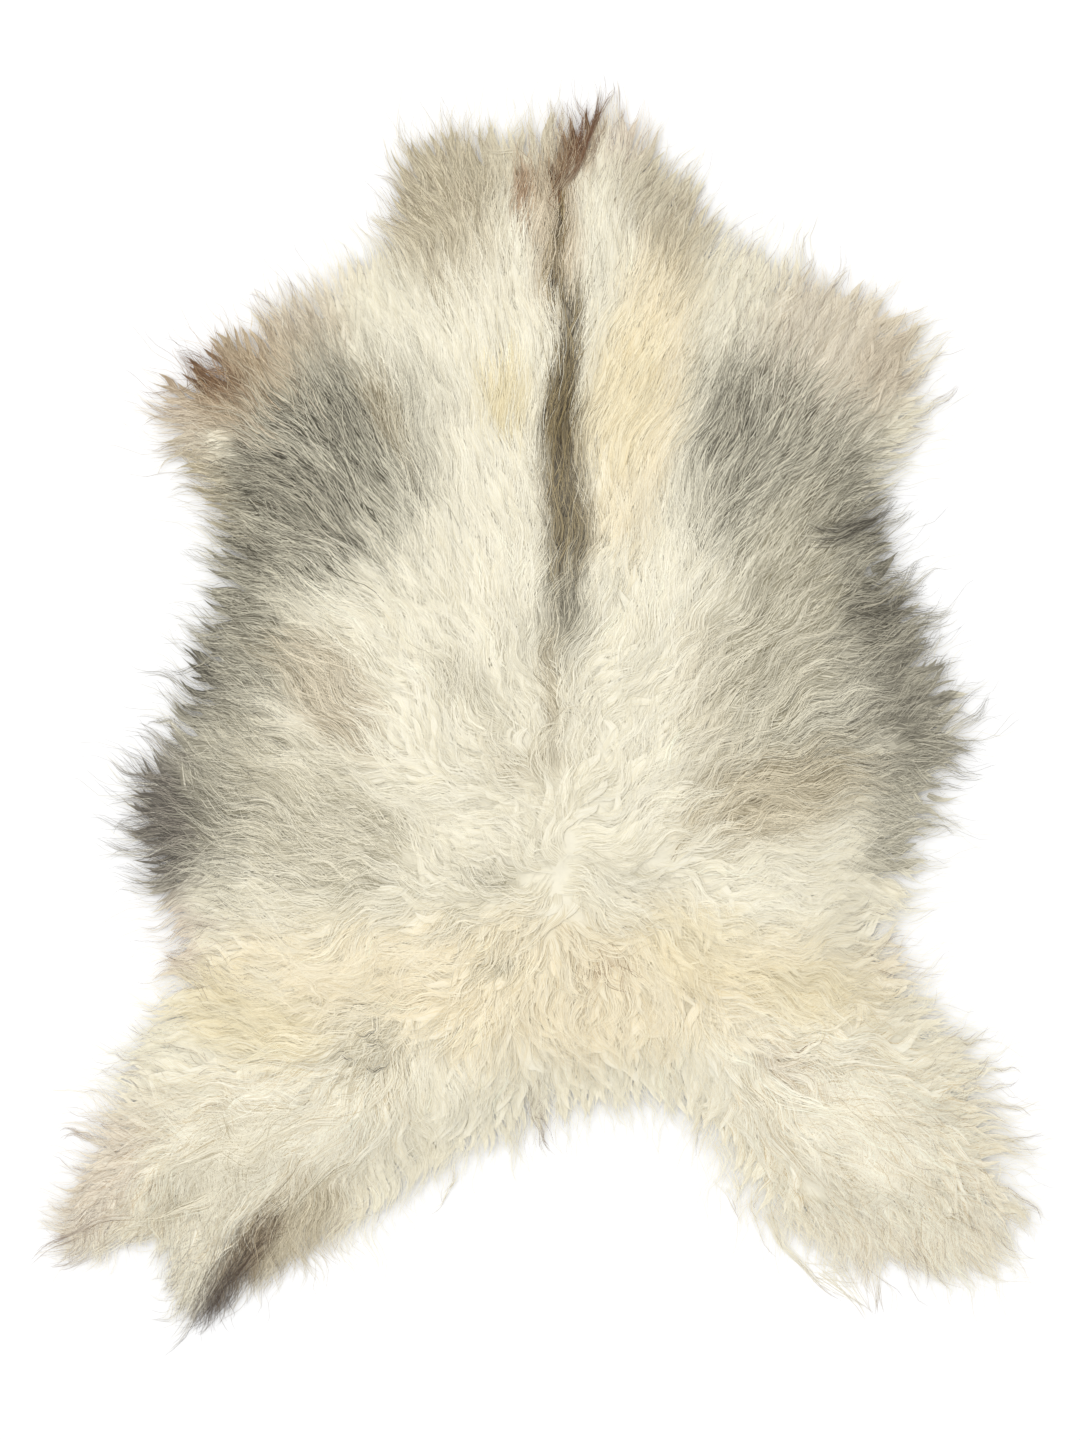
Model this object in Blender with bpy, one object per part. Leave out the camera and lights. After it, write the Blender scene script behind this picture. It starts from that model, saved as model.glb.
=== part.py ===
"""An Icelandic sheepskin laid out flat with its wool up.

The tanned hide is a flat leather sheet. The fleece is a lumpy slab of wool over it, which reaches past
the hide's cut edge and ends in locks that lie on the floor. +Y runs along the spine to the neck, and the
origin is the middle of the fleece's box, on the floor.
"""
import math
import random
from typing import NamedTuple

import bmesh
import bpy
from mathutils import Matrix, Vector
from mathutils.geometry import delaunay_2d_cdt

MM = 0.001

# Thicknesses and heights above the floor, in millimetres. The slab's top climbs from the rim to the
# crown, and is nearly there after two or three times the crown's run.
HIDE_THICKNESS = 2.0
CLEARANCE = 0.3
RIM_HEIGHT = 15.0
RIM_UNEVENNESS = 0.2
CROWN_HEIGHT = 44.0
CROWN_RUN = 52.0

# The hide's cut edge has straight sides of about 28 mm.
HIDE_POINTS = 120

# Locks round the rim, in millimetres. A root takes a share of its lock's stretch of the rim, and the
# bows swing from side to side in waves along the rim, so that neighbours bend alike.
LOCK_COUNT = 190
LOCK_ROOT_SHARES = (0.53, 0.69)
LOCK_SHIFT = 0.08
LOCK_STRETCH = (0.9, 1.45)
LOCK_BOW = 4.0
LOCK_BOW_TURNS = 31
LOCK_TIP_WIDTH = 2.6
LOCK_TIP_HEIGHT = 2.0
LOCK_TOP_SHARE = 0.76
LOCK_MAX_SLANT = math.radians(44)
LOCK_EVENINGS = 4

# The points of the slab's top, in millimetres: how far apart they are, and how far from the rim.
TOP_GRID = 20.0
TOP_MARGIN = 11.0

# Tufts of wool that show as lumps in the slab's top, in millimetres.
TUFT_PITCH = 58.0
TUFT_SHAKE = 0.3
TUFT_TURN = 0.5
TUFT_RISES = (9.0, 16.5)
TUFT_LENGTH = 46.0
TUFT_WIDTH = 21.0

SEED = 11

# The wool parts along this stretch of the loin and lies away from it, in millimetres along the spine.
PARTING_FRONT = -90.0
PARTING_BACK = -210.0

CREASE_ANGLE = math.radians(50)
WOOL_COLOUR = (0.78, 0.70, 0.55)
HIDE_COLOUR = (0.66, 0.54, 0.40)


class EdgePoint(NamedTuple):
    """A point of the wool's edge, in millimetres from the middle of the skin.

    locks is how far the rim's locks stand out from the slab there, and wool is how far the wool as a
    whole reaches past the hide's cut edge.
    """

    place: str
    x: float
    y: float
    locks: float
    wool: float


# Clockwise from the neck, seen from above.
EDGE = (
    EdgePoint("neck, left corner", -133, 521, 34, 58),
    EdgePoint("neck, front left", -63, 537, 34, 58),
    EdgePoint("neck, crest", 36, 553, 42, 66),
    EdgePoint("neck, front right", 94, 541, 34, 60),
    EdgePoint("neck, right side", 144, 485, 30, 52),
    EdgePoint("neck root, right", 187, 430, 30, 52),
    EdgePoint("shoulder, right", 265, 404, 34, 56),
    EdgePoint("foreleg, right end", 347, 358, 36, 60),
    EdgePoint("foreleg, right side", 364, 281, 36, 58),
    EdgePoint("armpit, right", 320, 186, 34, 52),
    EdgePoint("flank front, right", 348, 101, 38, 58),
    EdgePoint("flank, right", 398, -7, 44, 66),
    EdgePoint("flank back, right", 364, -102, 42, 62),
    EdgePoint("waist, right", 330, -201, 34, 54),
    EdgePoint("thigh, right", 382, -277, 36, 56),
    EdgePoint("hind leg, right side", 441, -376, 42, 66),
    EdgePoint("hind leg, right end", 437, -458, 44, 72),
    EdgePoint("hind leg, right toe", 391, -506, 44, 72),
    EdgePoint("hind leg, right inside", 312, -500, 40, 66),
    EdgePoint("hind leg, right root", 211, -469, 34, 56),
    EdgePoint("crotch, right", 157, -405, 26, 50),
    EdgePoint("rump, right", 112, -356, 24, 48),
    EdgePoint("tail", 40, -360, 28, 50),
    EdgePoint("rump, left", -36, -393, 30, 52),
    EdgePoint("hind leg, left root", -126, -446, 34, 56),
    EdgePoint("hind leg, left inside", -225, -500, 40, 64),
    EdgePoint("hind leg, left inner toe", -321, -584, 68, 142),
    EdgePoint("hind leg, left cleft", -344, -482, 32, 54),
    EdgePoint("hind leg, left outer toe", -450, -497, 50, 86),
    EdgePoint("hind leg, left side", -427, -408, 34, 56),
    EdgePoint("thigh, left", -390, -322, 34, 56),
    EdgePoint("waist, left", -341, -214, 32, 52),
    EdgePoint("flank back, left", -379, -120, 42, 62),
    EdgePoint("flank, left", -372, -43, 42, 62),
    EdgePoint("flank front, left", -326, 24, 38, 56),
    EdgePoint("armpit, left", -301, 155, 32, 50),
    EdgePoint("foreleg, left underside", -339, 227, 34, 54),
    EdgePoint("foreleg, left end", -354, 285, 36, 60),
    EdgePoint("foreleg, left top", -308, 334, 34, 58),
    EdgePoint("shoulder, left", -198, 401, 32, 56),
    EdgePoint("neck root, left", -150, 432, 30, 52),
)


def clear_scene():
    for scene_object in list(bpy.data.objects):
        bpy.data.objects.remove(scene_object, do_unlink=True)


def left_of(direction):
    """The direction a quarter turn to the left, seen from above."""
    return Vector((-direction.y, direction.x))


def inset_points(column):
    """The edge's points, each moved into the skin by the named column's length."""
    points = []
    for index, edge_point in enumerate(EDGE):
        before = EDGE[index - 1]
        after = EDGE[(index + 1) % len(EDGE)]
        along = Vector((after.x - before.x, after.y - before.y)).normalized()
        inward = -left_of(along)
        points.append(Vector((edge_point.x, edge_point.y)) + inward * getattr(edge_point, column))
    return points


def closed_curve(points, steps=16):
    """A smooth closed curve through the points, as a list with the same steps between each two."""
    curve = []
    count = len(points)
    for index in range(count):
        before, start, end, after = (points[(index + offset) % count] for offset in (-1, 0, 1, 2))
        for step in range(steps):
            t = step / steps
            linear = (end - before) * t
            square = (before * 2 - start * 5 + end * 4 - after) * t**2
            cube = (start * 3 - before - end * 3 + after) * t**3
            curve.append((start * 2 + linear + square + cube) * 0.5)
    return curve


def spaced_along(curve, shares):
    """Points at the given shares of a closed curve's length, with the curve's direction at each."""
    closed = curve + [curve[0]]
    run = [0.0]
    for start, end in zip(closed, closed[1:]):
        run.append(run[-1] + (end - start).length)
    placed = []
    index = 0
    for share in shares:
        while run[index + 1] < share * run[-1]:
            index += 1
        t = (share * run[-1] - run[index]) / (run[index + 1] - run[index])
        along = (closed[index + 1] - closed[index]).normalized()
        placed.append((closed[index].lerp(closed[index + 1], t), along))
    return placed


def wool_lie(point):
    """The direction in which the wool lies at a point: away from the parting on the loin."""
    nearest = min(max(point.y, PARTING_BACK), PARTING_FRONT)
    away = Vector((point.x, point.y - nearest))
    return away.normalized() if away.length > 1 else Vector((0, 1))


def inside(point, outline):
    """Whether a point lies inside a closed outline."""
    crossings = 0
    for start, end in zip(outline, outline[1:] + outline[:1]):
        if (start.y > point.y) != (end.y > point.y):
            at = start.x + (point.y - start.y) / (end.y - start.y) * (end.x - start.x)
            crossings += at > point.x
    return crossings % 2 == 1


def distance_to(point, outline):
    return min((point - corner).length for corner in outline)


def half_counts(column_step, row_step):
    """How many columns and rows lie on each side of the middle, to cover the skin."""
    columns = int(max(abs(edge_point.x) for edge_point in EDGE) / column_step) + 1
    rows = int(max(abs(edge_point.y) for edge_point in EDGE) / row_step) + 1
    return columns, rows


class Tuft(NamedTuple):
    """A lump of wool: its middle, the way it lies and its height, in millimetres."""

    centre: Vector
    along: Vector
    rise: float


def scatter_tufts(rng):
    """Tufts on a shaken grid over the whole skin, each lying with the wool."""
    half_columns, half_rows = half_counts(TUFT_PITCH, TUFT_PITCH)
    tufts = []
    for row in range(-half_rows, half_rows + 1):
        for column in range(-half_columns, half_columns + 1):
            shake = Vector((rng.uniform(-TUFT_SHAKE, TUFT_SHAKE), rng.uniform(-TUFT_SHAKE, TUFT_SHAKE)))
            centre = (Vector((column + 0.5 * (row % 2), row)) + shake) * TUFT_PITCH
            turn = Matrix.Rotation(rng.uniform(-TUFT_TURN, TUFT_TURN), 2)
            tufts.append(Tuft(centre, turn @ wool_lie(centre), rng.uniform(*TUFT_RISES)))
    return tufts


def tuft_height(point, tufts):
    """The height of the highest tuft at a point."""
    height = 0.0
    for tuft in tufts:
        offset = point - tuft.centre
        if offset.length < 2 * TUFT_LENGTH:
            lengthwise = offset.dot(tuft.along) / TUFT_LENGTH
            sideways = offset.dot(left_of(tuft.along)) / TUFT_WIDTH
            height = max(height, tuft.rise * math.exp(-lengthwise**2 - sideways**2))
    return height


def top_points(rim, tufts):
    """Points of the slab's top inside its rim, on rows of triangles."""
    points = []
    row_step = TOP_GRID * math.sqrt(3) / 2
    half_columns, half_rows = half_counts(TOP_GRID, row_step)
    for row in range(-half_rows, half_rows + 1):
        for column in range(-half_columns, half_columns + 1):
            point = Vector(((column + 0.5 * (row % 2)) * TOP_GRID, row * row_step))
            if not inside(point, rim):
                continue
            depth = distance_to(point, rim)
            if depth < TOP_MARGIN:
                continue
            fullness = 1 - math.exp(-depth / CROWN_RUN)
            height = RIM_HEIGHT + (CROWN_HEIGHT - RIM_HEIGHT) * fullness
            height += tuft_height(point, tufts) * min(1.0, depth / TUFT_LENGTH)
            points.append(Vector((point.x, point.y, height)))
    return points


def add_ring(bm, points, height):
    """A closed ring of vertices at one height; the points are in millimetres."""
    return [bm.verts.new((point.x * MM, point.y * MM, height * MM)) for point in points]


def add_wall(bm, low, high):
    """Four-sided faces between two rings, which are returned in the rings' order."""
    faces = []
    for index in range(len(low)):
        after = (index + 1) % len(low)
        faces.append(bm.faces.new((low[index], low[after], high[after], high[index])))
    return faces


def add_top(bm, rim_high, points):
    """The slab's top: triangles between the rim's upper ring and the points inside it."""
    inner = [bm.verts.new(point * MM) for point in points]
    verts = rim_high + inner
    flat = [vert.co.xy for vert in verts]
    rim_face = list(range(len(rim_high)))
    _, _, triangles, sources, _, _ = delaunay_2d_cdt(flat, [], [rim_face], 1, 1e-7)
    for triangle in triangles:
        bm.faces.new([verts[sources[corner][0]] for corner in triangle])


def add_underside(bm, outer, inner):
    """The flat face between two closed rings that lie at one height."""
    edges = []
    for ring in (outer, inner):
        for index, vert in enumerate(ring):
            edges.append(bm.edges.get((ring[index - 1], vert)))
    bmesh.ops.triangle_fill(bm, use_beauty=True, edges=edges, normal=(0, 0, -1))


class Section(NamedTuple):
    """A cross section of a lock: shares of its length, its bow, and its root's width and height."""

    reach: float
    bow: float
    width: float
    height: float


LOCK_SECTIONS = (
    Section(reach=0.36, bow=0.7, width=0.92, height=0.70),
    Section(reach=0.72, bow=0.2, width=0.60, height=0.38),
    Section(reach=1.00, bow=-1.0, width=0.0, height=0.0),
)


def lock_headings(rim):
    """The way each lock points, evened out between neighbours so that they don't cross."""
    headings = []
    for place, along in rim[::2]:
        outward = left_of(along)
        lie = wool_lie(place)
        slant = math.atan2(outward.cross(lie), outward.dot(lie))
        slant = min(max(slant, -LOCK_MAX_SLANT), LOCK_MAX_SLANT)
        headings.append(Matrix.Rotation(slant, 2) @ outward)
    for _ in range(LOCK_EVENINGS):
        ahead = headings[1:] + headings[:1]
        behind = headings[-1:] + headings[:-1]
        headings = [(a + 2 * b + c).normalized() for a, b, c in zip(ahead, headings, behind)]
    return headings


def grow_lock(bm, root, heading, length, bow):
    """Draws a lock out of a face of the rim's wall, section by section, flat on the floor."""
    first, second = (vert.co.xy / MM for vert in root.verts[:2])
    start = (first + second) / 2
    side = -left_of(heading)
    root_width = abs((second - first).dot(side))
    root_height = max(vert.co.z for vert in root.verts) / MM
    face = root
    for section in LOCK_SECTIONS:
        middle = start + heading * length * section.reach + side * bow * section.bow
        width = LOCK_TIP_WIDTH + (root_width - LOCK_TIP_WIDTH) * section.width
        height = LOCK_TIP_HEIGHT + (root_height - LOCK_TIP_HEIGHT) * section.height
        face = bmesh.ops.extrude_discrete_faces(bm, faces=[face])["faces"][0]
        top_width = width * LOCK_TOP_SHARE
        corners = ((-width, 0), (width, 0), (top_width, height), (-top_width, height))
        for vert, (across, up) in zip(face.verts, corners):
            place = middle + side * across / 2
            vert.co = (place.x * MM, place.y * MM, up * MM)


def rim_shares(rng):
    """Where each lock's root starts and ends, as shares of the rim's length."""
    shares = []
    for index in range(LOCK_COUNT):
        middle = index + 0.5 + rng.uniform(-LOCK_SHIFT, LOCK_SHIFT)
        half = rng.uniform(*LOCK_ROOT_SHARES) / 2
        shares += [(middle - half) / LOCK_COUNT, (middle + half) / LOCK_COUNT]
    return shares


def make_object(name, bm, colour, roughness):
    """A closed mesh as a named object with its own material."""
    bmesh.ops.recalc_face_normals(bm, faces=bm.faces)
    mesh = bpy.data.meshes.new(name)
    bm.to_mesh(mesh)
    bm.free()
    mesh.shade_smooth()
    mesh.set_sharp_from_angle(angle=CREASE_ANGLE)
    material = bpy.data.materials.new(name)
    material.use_nodes = True
    shader = material.node_tree.nodes["Principled BSDF"]
    shader.inputs["Base Color"].default_value = (*colour, 1)
    shader.inputs["Roughness"].default_value = roughness
    shader.inputs["Metallic"].default_value = 0
    mesh.materials.append(material)
    made = bpy.data.objects.new(name, mesh)
    bpy.context.collection.objects.link(made)
    return made


def hide_outline():
    curve = closed_curve(inset_points("wool"))
    placed = spaced_along(curve, [index / HIDE_POINTS for index in range(HIDE_POINTS)])
    return [point for point, _ in placed]


def widened(outline, gap):
    """A clockwise outline with every side moved outward by the gap."""
    moved = []
    for index, point in enumerate(outline):
        arriving = left_of((point - outline[index - 1]).normalized())
        leaving = left_of((outline[(index + 1) % len(outline)] - point).normalized())
        moved.append(point + (arriving + leaving) * (gap / (1 + arriving.dot(leaving))))
    return moved


def make_hide(outline):
    """The leather: a flat sheet with the skin's cut outline."""
    bm = bmesh.new()
    low = add_ring(bm, outline, 0)
    high = add_ring(bm, outline, HIDE_THICKNESS)
    add_wall(bm, low, high)
    bm.faces.new(low)
    bm.faces.new(high)
    return make_object("hide", bm, HIDE_COLOUR, 0.8)


def make_fleece(outline):
    """The wool: a lumpy slab that sits over the hide and round its edge, with locks at its rim."""
    rng = random.Random(SEED)
    rim_curve = closed_curve(inset_points("locks"))
    tips = closed_curve([Vector((edge_point.x, edge_point.y)) for edge_point in EDGE])
    rim = spaced_along(rim_curve, rim_shares(rng))
    rim_places = [place for place, _ in rim]
    recess = widened(outline, CLEARANCE)

    bm = bmesh.new()
    rim_low = add_ring(bm, rim_places, 0)
    rim_high = add_ring(bm, rim_places, RIM_HEIGHT)
    for vert in rim_high:
        vert.co.z *= rng.uniform(1 - RIM_UNEVENNESS, 1 + RIM_UNEVENNESS)
    recess_low = add_ring(bm, recess, 0)
    recess_high = add_ring(bm, recess, HIDE_THICKNESS + CLEARANCE)
    wall = add_wall(bm, rim_low, rim_high)
    add_wall(bm, recess_low, recess_high)
    bm.faces.new(recess_high)
    add_underside(bm, rim_low, recess_low)
    add_top(bm, rim_high, top_points(rim_places, scatter_tufts(rng)))
    for index, heading in enumerate(lock_headings(rim)):
        length = distance_to(rim_places[2 * index], tips) * rng.uniform(*LOCK_STRETCH)
        bow = LOCK_BOW * math.sin(2 * math.pi * LOCK_BOW_TURNS * index / LOCK_COUNT)
        grow_lock(bm, wall[2 * index], heading, length, bow)
    return make_object("fleece", bm, WOOL_COLOUR, 0.9)


def centre_on_origin(made, measured):
    """Moves the objects together, so that the measured one's box has its middle over the origin."""
    corners = [Vector(corner) for corner in measured.bound_box]
    low = Vector([min(corner[axis] for corner in corners) for axis in range(3)])
    high = Vector([max(corner[axis] for corner in corners) for axis in range(3)])
    middle = (low + high) / 2
    for scene_object in made:
        scene_object.location = (-middle.x, -middle.y, 0)


def main():
    clear_scene()
    outline = hide_outline()
    hide = make_hide(outline)
    fleece = make_fleece(outline)
    centre_on_origin((hide, fleece), fleece)


main()
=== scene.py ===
"""An Icelandic sheepskin laid out flat with its wool up, seen from straight above.

Lengths are in millimetres until they reach a mesh. Places are in the skin's own frame: +Y along the
spine to the neck, +X to the right seen from above.
"""

import math
from typing import NamedTuple

import bmesh
import bpy
import numpy as np
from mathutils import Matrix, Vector
from mathutils.bvhtree import BVHTree


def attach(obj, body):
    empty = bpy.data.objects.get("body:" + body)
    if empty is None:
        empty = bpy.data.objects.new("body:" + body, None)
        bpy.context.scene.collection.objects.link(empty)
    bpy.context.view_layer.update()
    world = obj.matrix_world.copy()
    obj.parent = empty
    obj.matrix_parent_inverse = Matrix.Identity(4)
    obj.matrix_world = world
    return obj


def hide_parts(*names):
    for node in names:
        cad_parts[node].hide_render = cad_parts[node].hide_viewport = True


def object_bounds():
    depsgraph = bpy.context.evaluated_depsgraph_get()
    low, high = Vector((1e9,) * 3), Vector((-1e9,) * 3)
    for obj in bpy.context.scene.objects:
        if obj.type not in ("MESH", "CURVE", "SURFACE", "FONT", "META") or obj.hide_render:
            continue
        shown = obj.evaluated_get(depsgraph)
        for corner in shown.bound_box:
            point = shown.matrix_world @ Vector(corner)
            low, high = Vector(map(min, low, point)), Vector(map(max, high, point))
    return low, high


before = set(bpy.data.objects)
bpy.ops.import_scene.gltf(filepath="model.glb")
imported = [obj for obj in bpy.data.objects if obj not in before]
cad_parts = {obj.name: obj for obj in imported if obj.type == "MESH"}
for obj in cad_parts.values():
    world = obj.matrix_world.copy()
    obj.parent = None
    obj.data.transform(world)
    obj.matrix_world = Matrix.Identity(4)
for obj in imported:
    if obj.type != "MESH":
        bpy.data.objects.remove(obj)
cad_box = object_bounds()

MM = 0.001

# These keep a division from failing where the number below would be 0.
TINY = 1e-9
SMALL = 1e-6

# The tables below were laid out from a point of the skin that lies this far from the box's middle.
TABLE_MIDDLE = np.array((4.6, 5.4))

# The photograph's frame, at this level in the wool, and the lens that it is seen through.
VIEW_MIDDLE = (-4.6, -8.1)
VIEW_HEIGHT = 1296.0
VIEW_LEVEL = 20.0
LENS = 90.0
SENSOR = 36.0

# The square grid on which the wool's height, edge and lie are kept. Places past its last points are read
# this far inside them, in steps.
GRID_STEP = 5.0
GRID_HALF = (540.0, 660.0)
GRID_INSET = 1.001

# How far the wool's height, its slope and the distance from its rim are evened out.
TOP_BLUR = 6.0
SLOPE_BLUR = 8.0
DEPTH_BLUR = 12.0

# The slab's rim is where it gets this high. The wool sinks from the skirt's height to the floor beyond it.
RIM_LEAST_HEIGHT = 10.0
SKIRT_HEIGHT = 15.0
SKIRT_RUN = 46.0
FLOOR_CLEARANCE = 0.6

# How far locks reach beyond the rim, and beyond the solids' box at most.
EDGE_REACH = 54.0
BOX_MARGIN = 15.0

# Near the rim the wool turns outward and gathers in points, and its hairs end sooner and are finer. Each
# run is how far inward that fades.
EDGE_PULL = 0.9
EDGE_PULL_RUN = 26.0
EDGE_GATHER = 0.64
EDGE_GATHER_RUN = 30.0
RIM_THINNING = 0.48
RIM_FINENESS = 0.34
RIM_RUN = 12.0


class Lie(NamedTuple):
    """The way the wool lies at a place, in degrees from +X towards +Y."""

    place: str
    x: float
    y: float
    angle: float


LIES = (
    Lie("neck, left", -108, 492, 104),
    Lie("neck, middle", -9, 510, 92),
    Lie("neck, crest", 45, 546, 83),
    Lie("neck, right", 104, 501, 68),
    Lie("neck root, left", -126, 411, 112),
    Lie("shoulder, left of the spine", -90, 339, 108),
    Lie("withers, left", -36, 258, 98),
    Lie("back, left", -63, 141, 104),
    Lie("spine, front", 18, 375, 90),
    Lie("spine, middle", 20, 213, 86),
    Lie("shoulder, right of the spine", 90, 339, 71),
    Lie("withers, right", 72, 213, 69),
    Lie("ribs, front left", -207, 285, 126),
    Lie("ribs, left", -189, 141, 139),
    Lie("foreleg, left", -297, 312, 140),
    Lie("foreleg end, left", -337, 258, 158),
    Lie("armpit, left", -292, 159, 145),
    Lie("flank front, left", -270, 51, 151),
    Lie("flank, left", -306, -66, 160),
    Lie("flank back, left", -337, -138, 170),
    Lie("ribs, back left", -153, -21, 152),
    Lie("waist, left", -288, -210, 180),
    Lie("thigh, left", -315, -309, 189),
    Lie("hind leg side, left", -387, -399, 200),
    Lie("hind leg outer toe, left", -410, -471, 212),
    Lie("hind leg inner toe, left", -297, -516, 241),
    Lie("hind leg inside, left", -216, -435, 236),
    Lie("hind leg root, left", -126, -390, 246),
    Lie("rump, left", -36, -336, 262),
    Lie("rump, middle", 23, -309, 273),
    Lie("rump, right", 90, -309, 292),
    Lie("crotch, right", 149, -363, 301),
    Lie("hind leg inside, right", 212, -426, 303),
    Lie("hind leg end, right", 306, -457, 309),
    Lie("hind leg middle, right", 279, -354, 335),
    Lie("hind leg side, right", 401, -372, 342),
    Lie("thigh, right", 351, -282, 355),
    Lie("waist, right", 306, -210, 0),
    Lie("flank back, right", 329, -120, 12),
    Lie("flank, right", 324, -21, 24),
    Lie("flank front, right", 306, 87, 32),
    Lie("ribs, back right", 198, -39, 28),
    Lie("ribs, right", 234, 213, 46),
    Lie("ribs, front right", 158, 276, 54),
    Lie("foreleg, right", 279, 348, 59),
    Lie("foreleg end, right", 338, 303, 55),
    Lie("shoulder, right", 207, 402, 64),
    Lie("middle, left", -81, -39, 142),
    Lie("middle, right", 99, -3, 40),
    Lie("loin, left", -81, -201, 192),
    Lie("loin, right", 126, -201, 352),
)

# The rows blend over about this distance.
LIE_REACH = 62.0


class Zone(NamedTuple):
    """How the locks of a part of the skin are: sizes in millimetres, angles in degrees.

    wave swings a lock from side to side every pitch. unrest is how far neighbours' headings differ, curl
    how far a lock may turn from its root to its tip, and gather the share of its width lost on the way.
    """

    place: str
    x: float
    y: float
    reach: float
    length: float
    width: float
    wave: float
    pitch: float
    unrest: float
    curl: float
    gather: float


ZONES = (
    Zone("neck", 0, 480, 110, 60, 24, 13, 58, 9, 18, 0.3),
    Zone("back, left of the spine", -80, 270, 100, 62, 24, 12, 60, 8, 14, 0.2),
    Zone("spine", 18, 280, 50, 56, 20, 12, 60, 7, 12, 0.3),
    Zone("back, right of the spine", 90, 270, 100, 62, 24, 12, 60, 8, 14, 0.25),
    Zone("ribs, left", -200, 210, 100, 54, 22, 14, 46, 10, 18, 0.2),
    Zone("ribs, right", 225, 220, 100, 54, 22, 14, 46, 10, 18, 0.2),
    Zone("foreleg, left", -300, 310, 80, 70, 24, 22, 55, 14, 26, 0.5),
    Zone("foreleg, right", 300, 340, 80, 70, 24, 18, 55, 12, 24, 0.45),
    Zone("flank, left", -280, -60, 130, 84, 24, 24, 62, 10, 22, 0.5),
    Zone("flank, right", 290, -30, 130, 84, 24, 26, 62, 10, 22, 0.5),
    Zone("back, behind the stripe", 18, 95, 60, 54, 22, 18, 52, 12, 30, 0.3),
    Zone("middle", 10, -40, 105, 50, 22, 30, 46, 30, 70, 0.3),
    Zone("loin", 0, -170, 105, 46, 22, 30, 42, 38, 80, 0.3),
    Zone("thigh, left", -230, -250, 110, 66, 24, 30, 52, 30, 70, 0.4),
    Zone("thigh, right", 240, -240, 110, 66, 24, 32, 52, 32, 70, 0.4),
    Zone("hind leg, left", -320, -410, 120, 86, 26, 30, 66, 16, 50, 0.55),
    Zone("hind leg, right", 320, -410, 120, 84, 26, 28, 62, 16, 50, 0.5),
    Zone("rump", 30, -315, 80, 58, 22, 20, 50, 16, 30, 0.4),
)


class Coat(NamedTuple):
    """A mix of hairs: two colours as 8-bit sRGB, and the share of the dark ones."""

    pale: tuple
    dark: tuple
    share: float


COATS = {
    "cream": Coat((248, 243, 224), (235, 228, 204), 0.25),
    "silky": Coat((255, 251, 233), (208, 188, 148), 0.14),
    "warm cream": Coat((250, 239, 210), (232, 216, 178), 0.25),
    "yellow": Coat((242, 230, 191), (216, 201, 157), 0.30),
    "beige": Coat((238, 226, 206), (164, 144, 118), 0.38),
    "olive beige": Coat((229, 217, 187), (138, 124, 93), 0.52),
    "pink beige": Coat((240, 228, 212), (176, 150, 134), 0.35),
    "tan": Coat((222, 202, 168), (130, 104, 72), 0.50),
    "pale grey": Coat((238, 231, 208), (147, 139, 112), 0.48),
    "grey": Coat((228, 222, 199), (80, 75, 59), 0.60),
    "dark grey": Coat((202, 195, 172), (58, 54, 43), 0.69),
    "slate": Coat((168, 158, 144), (52, 46, 42), 0.76),
    "stripe": Coat((166, 146, 100), (52, 40, 22), 0.82),
    "brown": Coat((176, 138, 96), (82, 53, 31), 0.70),
    "bronze": Coat((178, 158, 128), (72, 58, 46), 0.62),
    "red brown": Coat((196, 158, 118), (112, 75, 45), 0.56),
}


class Patch(NamedTuple):
    """A patch of a coat: its middle, half sizes, its long side's turn in degrees, and its strength."""

    place: str
    coat: str
    x: float
    y: float
    long: float
    wide: float
    turn: float
    strength: float


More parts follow.
